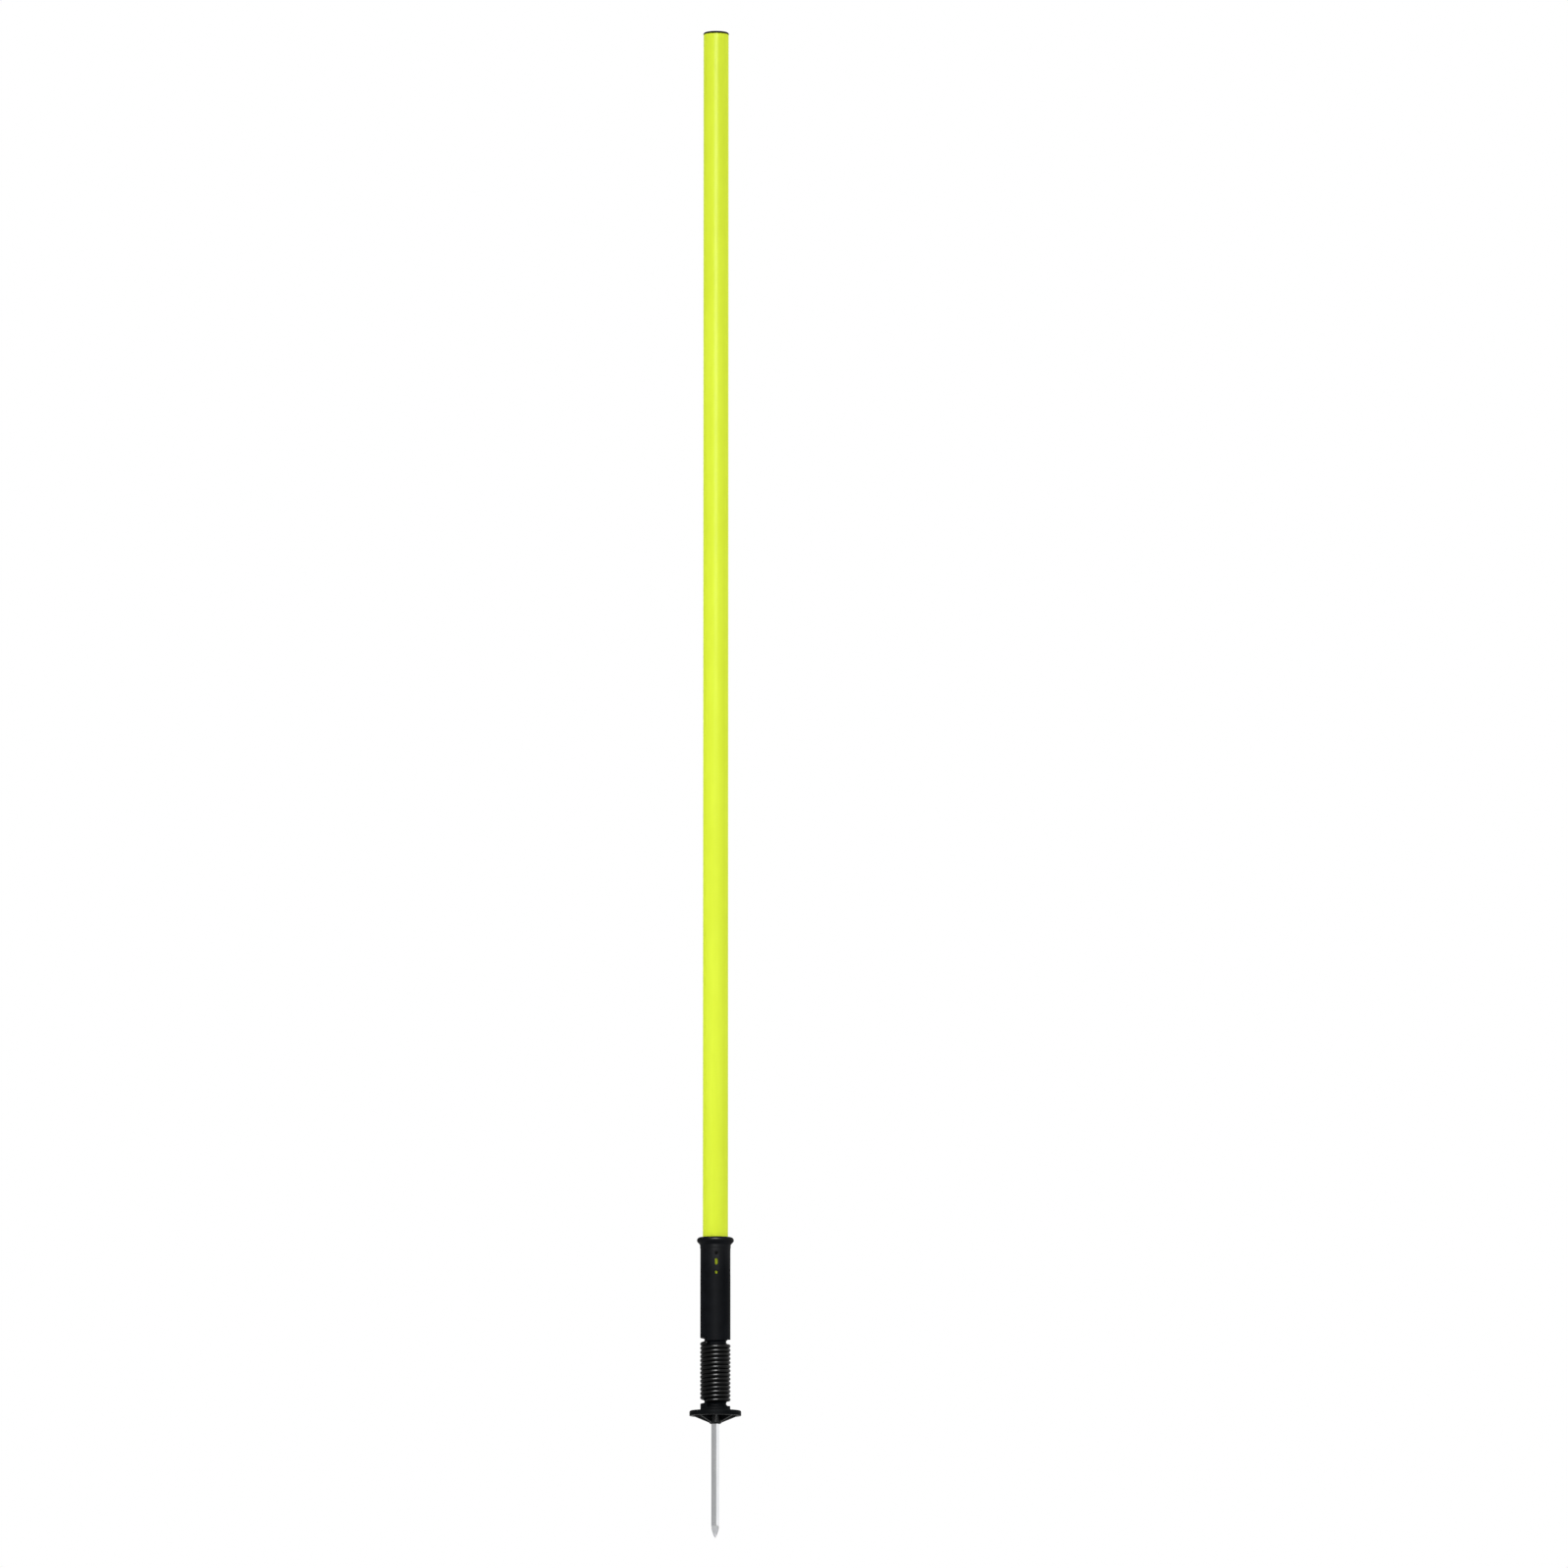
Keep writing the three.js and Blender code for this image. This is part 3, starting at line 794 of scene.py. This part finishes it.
def make_end_cap():
    """A crowned flange with a gate mark in its middle, on a hollow plug with barbs."""
    barb_radius = POLE_BORE_RADIUS - FIT_GAP
    core_radius = barb_radius - CAP_BARB_HEIGHT
    hollow_radius = core_radius - CAP_PLUG_WALL
    plug_bottom = POLE_TOP - CAP_PLUG_LENGTH
    top = POLE_TOP + CAP_FLANGE
    corners = [
        (0, POLE_TOP),
        (hollow_radius, POLE_TOP, CAP_HOLLOW_EDGE),
        (hollow_radius, plug_bottom, CAP_PLUG_EDGE),
    ]
    for i in range(CAP_BARB_COUNT):
        barb = plug_bottom + i * CAP_BARB_PITCH
        corners += [
            (core_radius, barb, CAP_BARB_ROOT_EDGE),
            (barb_radius, barb + CAP_BARB_RISE, CAP_BARB_TIP_EDGE),
            (core_radius, barb + CAP_BARB_RISE, CAP_BARB_BACK_EDGE),
        ]
    corners += [
        (core_radius, POLE_TOP),
        (CAP_RADIUS, POLE_TOP, CAP_UNDER_EDGE),
        (CAP_RADIUS, top - CAP_CROWN, CAP_EDGE),
        (CAP_GATE_RADIUS + CAP_GATE_SLOPE, top, CAP_GATE_RIM_EDGE),
        (CAP_GATE_RADIUS, top - CAP_GATE_DEPTH, CAP_GATE_FLOOR_EDGE),
        (0, top - CAP_GATE_DEPTH),
    ]
    cap = turned("pole_cap", rounded(corners, FINE_CORNER_STEPS))
    smooth(cap)
    return cap


def make_pole_socket():
    """The socket has a bead round its mouth, window sets in its wall and a threaded plug below."""
    bead = arc(BEAD_CENTRE_RADIUS, BEAD_CENTRE_HEIGHT, BEAD_RADIUS, BEAD_START, QUARTER_TURN, BEAD_STEPS)
    lower = rounded([
        (0, SOCKET_PLUG_BOTTOM),
        (PLUG_RADIUS - PLUG_CHAMFER, SOCKET_PLUG_BOTTOM, PLUG_EDGE),
        (PLUG_RADIUS, SOCKET_PLUG_BOTTOM + PLUG_CHAMFER, PLUG_EDGE),
        (PLUG_RADIUS, SOCKET_LOW_BOTTOM),
        (SOCKET_RADIUS, SOCKET_LOW_BOTTOM),
        (SOCKET_RADIUS, SOCKET_HIGH_BOTTOM + CUT_MARGIN),
        (SOCKET_RADIUS, RECESS_BOTTOM - CUT_MARGIN),
        (SOCKET_RADIUS, NECK_RING_BOTTOM - NECK_RING_STEP, NECK_RING_EDGE),
        (SOCKET_RADIUS + NECK_RING_STEP, NECK_RING_BOTTOM, NECK_RING_EDGE),
        (SOCKET_RADIUS + NECK_RING_STEP, NECK_RING_TOP),
        tuple(bead[0]),
    ])
    mouth = BEAD_CENTRE_HEIGHT + BEAD_RADIUS
    upper = rounded([
        tuple(bead[-1]),
        (SOCKET_BORE_RADIUS + SOCKET_LEAD_IN, mouth, SOCKET_MOUTH_EDGE),
        (SOCKET_BORE_RADIUS, mouth - SOCKET_LEAD_IN, SOCKET_LEAD_IN_EDGE),
        (SOCKET_BORE_RADIUS, RECESS_TOP + CUT_MARGIN),
        (SOCKET_BORE_RADIUS, RECESS_BOTTOM - CUT_MARGIN),
        (SOCKET_BORE_RADIUS, POLE_SEAT, SOCKET_FLOOR_EDGE),
        (0, POLE_SEAT),
    ])
    socket = turned("pole_socket_shell", [*lower[:-1], *bead, *upper[1:]])
    groove_start = SPRING_TURNS - PLUG_TURNS - GROOVE_OVERRUN_TURNS
    cut_spring_groove(socket, groove_start, SPRING_TURNS + PLUG_EMPTY_TURNS)
    recess_floor = SOCKET_RADIUS - RECESS_DEPTH
    recess_height = (RECESS_TOP + RECESS_BOTTOM) / 2
    recess_length = RECESS_TOP - RECESS_BOTTOM
    inside = SOCKET_BORE_RADIUS - CUT_OVERRUN
    seat = SOCKET_BORE_RADIUS + SCREW_SEAT_LEDGE
    shank_hole = 2 * (SCREW_SHANK_RADIUS + FIT_GAP)
    for i in range(WINDOW_SETS):
        angle = WINDOW_TURN + FULL_TURN * i / WINDOW_SETS
        cutters = (
            (RECESS_WIDTH, recess_length, recess_height, recess_floor, None, RECESS_LIP),
            (SCREW_HOLE_DIAMETER, 0, SCREW_HEIGHT, seat, recess_floor, SCREW_HOLE_LIP),
            (shank_hole, 0, SCREW_HEIGHT, inside, seat, SHANK_HOLE_LIP),
            (SLOT_WIDTH, SLOT_LENGTH, SLOT_HEIGHT, inside, recess_floor, WINDOW_LIP),
            (SIGHT_HOLE_DIAMETER, 0, SIGHT_HOLE_HEIGHT, inside, recess_floor, WINDOW_LIP),
        )
        for width, length, height, inner, face, lip in cutters:
            cutter = wall_cutter(width, length, height, angle, inner, face, lip)
            combine(socket, cutter, "DIFFERENCE")
    smooth_round_cuts(socket)
    return socket


def make_lock_screw():
    """A pan-head screw with a cross in its head, which lies along the radius of the pole."""
    head_seat = SOCKET_BORE_RADIUS + SCREW_SEAT_LEDGE + FIT_GAP
    head_top = SOCKET_RADIUS - RECESS_DEPTH - SCREW_HEAD_SINK
    rows = [
        (0, SCREW_TIP_PLACE, 0),
        (SCREW_TIP_RADIUS, SCREW_TIP_PLACE, 0),
        (SCREW_TIP_BULGE_RADIUS, SCREW_TIP_PLACE + SCREW_TIP_BULGE, SCREW_TIP_THREAD_SHARE),
    ]
    start = SCREW_TIP_PLACE + SCREW_TIP_LENGTH
    for i in range(SCREW_THREAD_STEPS + 1):
        place = start + (head_seat - start) * i / SCREW_THREAD_STEPS
        share = min(1.0, (SCREW_THREAD_STEPS - i) / SCREW_RUN_OUT_STEPS)
        rows.append((SCREW_SHANK_RADIUS, place, share))
    chamfer = SCREW_HEAD_CHAMFER
    rows += [
        (SCREW_HEAD_RADIUS - chamfer, head_seat, 0),
        (SCREW_HEAD_RADIUS, head_seat + chamfer, 0),
    ]
    edge = SCREW_HEAD_EDGE
    rim = arc(SCREW_HEAD_RADIUS - edge, head_top - edge, edge, 0, QUARTER_TURN, CORNER_STEPS)
    rows += [(radius, height, 0) for radius, height in rim]
    rows.append((0, head_top, 0))
    rings = threaded(rows, SCREW_PITCH, SCREW_THREAD_DEPTH, SCREW_ROUND_STEPS)
    screw = solid("lock_screw_steel", rings)
    cross_levels = ((head_top - CROSS_DEPTH, CROSS_FLOOR_HALF), (head_top + CROSS_RISE, CROSS_TOP_HALF))
    for quarter in (0, QUARTER_TURN):
        turn = Matrix.Rotation(quarter, 3, "Z")
        rings = []
        for height, (half_length, half_width) in cross_levels:
            corners = ((-1, -1), (1, -1), (1, 1), (-1, 1))
            rings.append([turn @ Vector((x * half_length, y * half_width, height)) for x, y in corners])
        combine(screw, solid("cross_cutter", rings), "DIFFERENCE")
    lie = Matrix.Rotation(WINDOW_TURN, 4, "Z") @ Matrix.Rotation(QUARTER_TURN, 4, "Y")
    screw.data.transform(Matrix.Translation((0, 0, SCREW_HEIGHT * MILLIMETRE)) @ lie)
    smooth(screw)
    return screw


def make_spring_half(name, start, end):
    """One half of the spring's wire, with a map of the way along it and round it."""
    turns = even_turns(start, end, WIRE_STEPS_PER_TURN)
    section = arc(SPRING_RADIUS, 0, WIRE_RADIUS, 0, FULL_TURN, WIRE_SIDES)[:-1]
    small = arc(SPRING_RADIUS, 0, WIRE_RADIUS - WIRE_END_CHAMFER, 0, FULL_TURN, WIRE_SIDES)[:-1]
    edge_turn = WIRE_END_CHAMFER / (FULL_TURN * SPRING_RADIUS)
    rings = [coiled(section, turn) for turn in turns]
    if start == 0:
        rings[0] = coiled(section, edge_turn)
        rings.insert(0, coiled(small, 0))
    if end == SPRING_TURNS:
        rings[-1] = coiled(section, end - edge_turn)
        rings.append(coiled(small, end))
    half = solid(name, rings)
    map_wire(half)
    smooth(half, FINE_CREASE)
    return half


def map_wire(half):
    """Writes how far along the wire and how far round it each corner of a face lies."""
    layer = half.data.uv_layers.new(name="along_wire")
    for face in half.data.polygons:
        corners = [half.data.loops[i].vertex_index for i in face.loop_indices]
        wraps = {corner % WIRE_SIDES for corner in corners} >= {0, WIRE_SIDES - 1}
        for i, corner in zip(face.loop_indices, corners):
            around = corner % WIRE_SIDES
            if wraps and len(corners) == 4 and around == 0:
                around = WIRE_SIDES
            along = corner // WIRE_SIDES / WIRE_STEPS_PER_TURN * MAP_UNITS_PER_TURN
            layer.data[i].uv = (along, around / WIRE_SIDES)


def foot_rib(angle):
    """One rib under the foot. It is deepest at the hub, thins downwards and has a rounded edge."""
    inner = SPIKE_RADIUS + FIT_GAP + FOOT_RIB_BORE_WALL
    outer = FOOT_RADIUS - FOOT_RIM_LAND + FOOT_RIB_OVERLAP
    top = FOOT_RIM_HEIGHT - FOOT_SKIN / 2
    stations = ((inner, -FOOT_RIB_DEPTH), (FOOT_HUB_RADIUS, -FOOT_RIB_DEPTH), (outer, 0))
    turn = Matrix.Rotation(angle, 3, "Z")
    half = FOOT_RIB_THICKNESS / 2
    edge = FOOT_RIB_EDGE
    rings = []
    for along, bottom in stations:
        section = [(half + FOOT_RIB_DRAFT / 2, top)]
        for k in range(CORNER_STEPS + 1):
            bend = QUARTER_TURN * k / CORNER_STEPS
            section.append((half - edge + edge * math.cos(bend), bottom + edge - edge * math.sin(bend)))
        row = section + [(-across, height) for across, height in reversed(section)]
        rings.append([turn @ Vector((along, across, height)) for across, height in row])
    return solid("foot_rib", rings)


def make_ground_foot():
    """Disc, hub and collar in one, with ribs, a threaded plug, and bores for the spike and its nut."""
    disc_top = FOOT_RIM_HEIGHT + FOOT_CROWN
    land_inner = FOOT_RADIUS - FOOT_RIM_LAND
    ceiling = FOOT_RIM_HEIGHT - FOOT_SKIN
    corners = [
        (0, -FOOT_HUB_DEPTH),
        (FOOT_HUB_RADIUS - FOOT_HUB_CHAMFER, -FOOT_HUB_DEPTH, FOOT_HUB_BOTTOM_EDGE),
        (FOOT_HUB_RADIUS, -FOOT_HUB_DEPTH + FOOT_HUB_CHAMFER, FOOT_HUB_SIDE_EDGE),
        (FOOT_HUB_RADIUS, ceiling, FOOT_HUB_ROOT_EDGE),
        (land_inner, ceiling, FOOT_SKIN / 2),
        (land_inner, 0, FOOT_RIM_INNER_EDGE),
        (FOOT_RADIUS, 0, FOOT_RIM_BOTTOM_EDGE),
        (FOOT_RADIUS, FOOT_RIM_HEIGHT, FOOT_RIM_TOP_EDGE),
        (FOOT_COLLAR_RADIUS, disc_top, FOOT_COLLAR_ROOT_EDGE),
        (FOOT_COLLAR_RADIUS, FOOT_COLLAR_TOP),
        (PLUG_RADIUS, FOOT_COLLAR_TOP),
        (PLUG_RADIUS, FOOT_PLUG_TOP - PLUG_CHAMFER, PLUG_EDGE),
        (PLUG_RADIUS - PLUG_CHAMFER, FOOT_PLUG_TOP, PLUG_EDGE),
        (0, FOOT_PLUG_TOP),
    ]
    foot = turned("foot_moulding", rounded(corners, FINE_CORNER_STEPS))
    for i in range(FOOT_RIB_COUNT):
        combine(foot, foot_rib(FOOT_RIB_TURN + FULL_TURN * i / FOOT_RIB_COUNT), "UNION")
    cut_spring_groove(foot, -PLUG_EMPTY_TURNS, PLUG_TURNS + GROOVE_OVERRUN_TURNS)
    bottom = -FOOT_HUB_DEPTH - CUT_OVERRUN
    above = FOOT_PLUG_TOP + CUT_OVERRUN
    bores = (
        (SPIKE_RADIUS + FIT_GAP, bottom, SPIKE_SHOULDER),
        (STUD_RADIUS + FIT_GAP, bottom, above),
        (NUT_POCKET_RADIUS, WASHER_SEAT, above),
    )
    for radius, low, high in bores:
        outline = [(0, low), (radius, low), (radius, high), (0, high)]
        combine(foot, turned("bore_cutter", outline, SMALL_ROUND_STEPS), "DIFFERENCE")
    smooth_round_cuts(foot)
    return foot


def make_spike():
    """The spike has a turned point, a shoulder under the foot and a threaded stud."""
    rows = []
    for i in range(SPIKE_POINT_STEPS + 1):
        share = (i / SPIKE_POINT_STEPS) ** SPIKE_POINT_SHAPE
        rows.append((SPIKE_RADIUS * (1 - (1 - share) ** 2), -SPIKE_REACH + SPIKE_POINT * share, 0))
    chamfer = SPIKE_SHOULDER_CHAMFER
    rows += [
        (SPIKE_RADIUS, SPIKE_SHOULDER - chamfer, 0),
        (SPIKE_RADIUS - chamfer, SPIKE_SHOULDER, 0),
        (STUD_RADIUS, SPIKE_SHOULDER, 0),
    ]
    thread_start = SPIKE_SHOULDER + STUD_NECK
    thread_length = STUD_TOP - STUD_TOP_CHAMFER - thread_start
    for i in range(STUD_THREAD_STEPS + 1):
        share = min(1.0, i / STUD_RUN_IN_STEPS)
        rows.append((STUD_RADIUS, thread_start + thread_length * i / STUD_THREAD_STEPS, share))
    rows += [(STUD_RADIUS - STUD_TOP_CHAMFER, STUD_TOP, 0), (0, STUD_TOP, 0)]
    spike = solid("steel_spike", threaded(rows, STUD_PITCH, STUD_THREAD_DEPTH, SMALL_ROUND_STEPS))
    smooth(spike, FINE_CREASE)
    return spike


def make_washer():
    """The washer that the nut presses on the floor of its pocket."""
    inner = STUD_RADIUS + FIT_GAP
    outline = rounded([
        (inner, WASHER_SEAT, WASHER_BORE_EDGE),
        (WASHER_RADIUS, WASHER_SEAT, WASHER_BOTTOM_EDGE),
        (WASHER_RADIUS, NUT_SEAT, WASHER_TOP_EDGE),
        (inner, NUT_SEAT, WASHER_BORE_EDGE),
    ])
    washer = turned("plated_washer", outline, SMALL_ROUND_STEPS)
    smooth(washer)
    return washer


def make_nut():
    """A hexagon nut with its corners turned off above and below."""
    corner_radius = NUT_HALF_FLATS / math.cos(math.pi / 6)
    top = NUT_SEAT + NUT_THICKNESS
    hexagon = [ring(corner_radius, height, 6) for height in (NUT_SEAT, top)]
    nut = solid("plated_nut", hexagon)
    face_radius = NUT_HALF_FLATS - NUT_FACE_STEP
    blank_radius = corner_radius + NUT_BLANK_CLEARANCE
    shape = [
        (0, NUT_SEAT),
        (face_radius, NUT_SEAT),
        (blank_radius, NUT_SEAT + NUT_CORNER_HEIGHT),
        (blank_radius, top - NUT_CORNER_HEIGHT),
        (face_radius, top),
        (0, top),
    ]
    combine(nut, turned("nut_blank", shape, SMALL_ROUND_STEPS), "INTERSECT")
    radius = STUD_RADIUS + FIT_GAP
    mouth_radius = radius + NUT_BORE_CHAMFER + CUT_OVERRUN
    bore = [
        (0, NUT_SEAT - CUT_OVERRUN),
        (mouth_radius, NUT_SEAT - CUT_OVERRUN),
        (radius, NUT_SEAT + NUT_BORE_CHAMFER),
        (radius, top - NUT_BORE_CHAMFER),
        (mouth_radius, top + CUT_OVERRUN),
        (0, top + CUT_OVERRUN),
    ]
    combine(nut, turned("nut_bore", bore, SMALL_ROUND_STEPS), "DIFFERENCE")
    smooth(nut)
    return nut


# Studio

CAMERA_DISTANCE = 12.4
CAMERA_HEIGHT = -0.802
CAMERA_SIDE = 0.0676
VIEW_CENTRE_HEIGHT = 0.6259
LENS = 289.6
FLOOR_HEIGHT = -0.1206
FLOOR_RADIUS = 2.6
FLOOR_FADE_START = 0.6
FLOOR_FADE_END = 2.5
WALL_LEFT = 0.42
WALL_RIGHT = 1.02
WALL_CHANGE_ANGLE = math.radians(31)
WALL_CHANGE_SOFTNESS = 0.04
ROOM_LIGHT_SHARE = 0.76


def make_camera():
    """A long lens from low down in front. The pole stands a little to the left of the middle."""
    data = bpy.data.cameras.new("camera")
    data.lens = LENS
    data.clip_start = 0.5
    data.clip_end = 60.0
    camera = bpy.data.objects.new("camera", data)
    bpy.context.scene.collection.objects.link(camera)
    camera.location = (CAMERA_SIDE, -CAMERA_DISTANCE, CAMERA_HEIGHT)
    aim = Vector((CAMERA_SIDE, 0, VIEW_CENTRE_HEIGHT)) - camera.location
    camera.rotation_euler = aim.to_track_quat("-Z", "Y").to_euler()
    bpy.context.scene.camera = camera


def make_floor():
    """A pale floor under the spike's point. It fades out at its rim and shows only from above."""
    mesh = bpy.data.meshes.new("floor")
    mesh.from_pydata(ring(FLOOR_RADIUS, FLOOR_HEIGHT, FLOOR_STEPS), [], [list(range(FLOOR_STEPS))])
    floor = bpy.data.objects.new("floor", mesh)
    bpy.context.scene.collection.objects.link(floor)
    finish = Finish(bpy.data.materials.new("pale_floor"))
    place = finish.place()
    distance = finish.node("ShaderNodeVectorMath", {"operation": "LENGTH"}, {0: place}, "Value")
    shown = distance.smoothly(FLOOR_FADE_START, FLOOR_FADE_END, 1.0, 0.0)
    below = finish.node("ShaderNodeNewGeometry", {}, {}, "Backfacing")
    paint = finish.surface(base_color=grey(0.86), roughness=0.9, specular_ior_level=0.0)
    clear = finish.node("ShaderNodeBsdfTransparent", {}, {})
    share = shown * (1 - below)
    mixed = finish.node("ShaderNodeMixShader", {}, {0: share, 1: clear, 2: paint})
    floor.data.materials.append(finish.output(mixed))


def make_world():
    """White to the camera. The pieces mirror a room that is grey on the left and white on the right.
    It lights their matt surfaces less than it shows in reflections."""
    finish = Finish(bpy.data.worlds.new("studio_world"))
    bpy.context.scene.world = finish.owner
    toward = finish.node("ShaderNodeTexCoord", {}, {}, "Generated")
    across = finish.part_of(toward, "X")
    ahead = finish.part_of(toward, "Y")
    side = across * math.cos(WALL_CHANGE_ANGLE) + ahead * math.sin(WALL_CHANGE_ANGLE)
    walls = side.smoothly(-WALL_CHANGE_SOFTNESS, WALL_CHANGE_SOFTNESS, WALL_LEFT, WALL_RIGHT)
    camera_ray = finish.node("ShaderNodeLightPath", {}, {}, "Is Camera Ray")
    glossy_ray = finish.node("ShaderNodeLightPath", {}, {}, "Is Glossy Ray")
    room = walls * (glossy_ray * (1 - ROOM_LIGHT_SHARE) + ROOM_LIGHT_SHARE)
    strength = room * (1 - camera_ray) + camera_ray
    background = finish.node("ShaderNodeBackground", {}, {"Color": grey(1.0), "Strength": strength})
    finish.output(background)


def add_lamp(name, place, target, size, watts, mirrored):
    """A soft rectangular lamp. It either is mirrored in the pieces or lights them."""
    data = bpy.data.lights.new(name, "AREA")
    data.shape = "RECTANGLE"
    data.size, data.size_y = size
    data.energy = watts
    lamp = bpy.data.objects.new(name, data)
    bpy.context.scene.collection.objects.link(lamp)
    lamp.location = place
    lamp.rotation_euler = (Vector(target) - lamp.location).to_track_quat("-Z", "Y").to_euler()
    lamp.visible_glossy = mirrored
    lamp.visible_diffuse = not mirrored
    lamp.visible_camera = False


def make_studio():
    """Camera, floor, room and lamps. Places and sizes are in metres."""
    make_camera()
    make_floor()
    make_world()
    add_lamp(
        "tall_front_light",
        place=(0, -3.0, 2.7),
        target=(0, 0, 2.7),
        size=(1.6, 3.0),
        watts=950.0,
        mirrored=True,
    )
    add_lamp(
        "left_fill_light",
        place=(-2.4, -2.0, 0.25),
        target=(0, 0, 0.4),
        size=(2.0, 2.4),
        watts=77.0,
        mirrored=False,
    )
    add_lamp(
        "right_fill_light",
        place=(2.0, -2.4, 0.0),
        target=(0, 0, 0.3),
        size=(1.6, 1.6),
        watts=40.0,
        mirrored=False,
    )
    bpy.context.scene.view_settings.view_transform = "Standard"


# The whole pole

make_studio()

lime = lime_extruded_plastic()
cap_black = black_moulded_plastic("black_cap_plastic", (0.0017, 0.0019, 0.0021), 0.006)
socket_black = black_moulded_plastic(
    "black_socket_plastic", (0.0036, 0.0042, 0.0055), 0.022, hand_polish
)
foot_black = black_moulded_plastic(
    "black_foot_plastic", (0.0034, 0.0041, 0.0050), 0.018, ground_polish
)
spring_black = coated_spring_steel()
screw_black = blackened_steel()
bright_steel = drawn_steel()
zinc_plating = plated_steel()

dress(make_pole_tube(), lime, "pole_tube", "pole")
dress(make_end_cap(), cap_black, "end_cap", "pole")
dress(make_pole_socket(), socket_black, "pole_socket", "pole")
dress(make_lock_screw(), screw_black, "lock_screw", "pole")
dress(make_ground_foot(), foot_black, "ground_foot", "foot")
dress(make_spike(), bright_steel, "spike", "foot")
dress(make_washer(), zinc_plating, "spike_washer", "foot")
dress(make_nut(), zinc_plating, "spike_nut", "foot")

lower_spring = make_spring_half("spring_lower_turns", 0, SPRING_TURNS / 2)
upper_spring = make_spring_half("spring_upper_turns", SPRING_TURNS / 2, SPRING_TURNS)
dress(lower_spring, spring_black, "coil_spring")
dress(upper_spring, spring_black, "coil_spring")
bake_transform(lower_spring)
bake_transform(upper_spring)
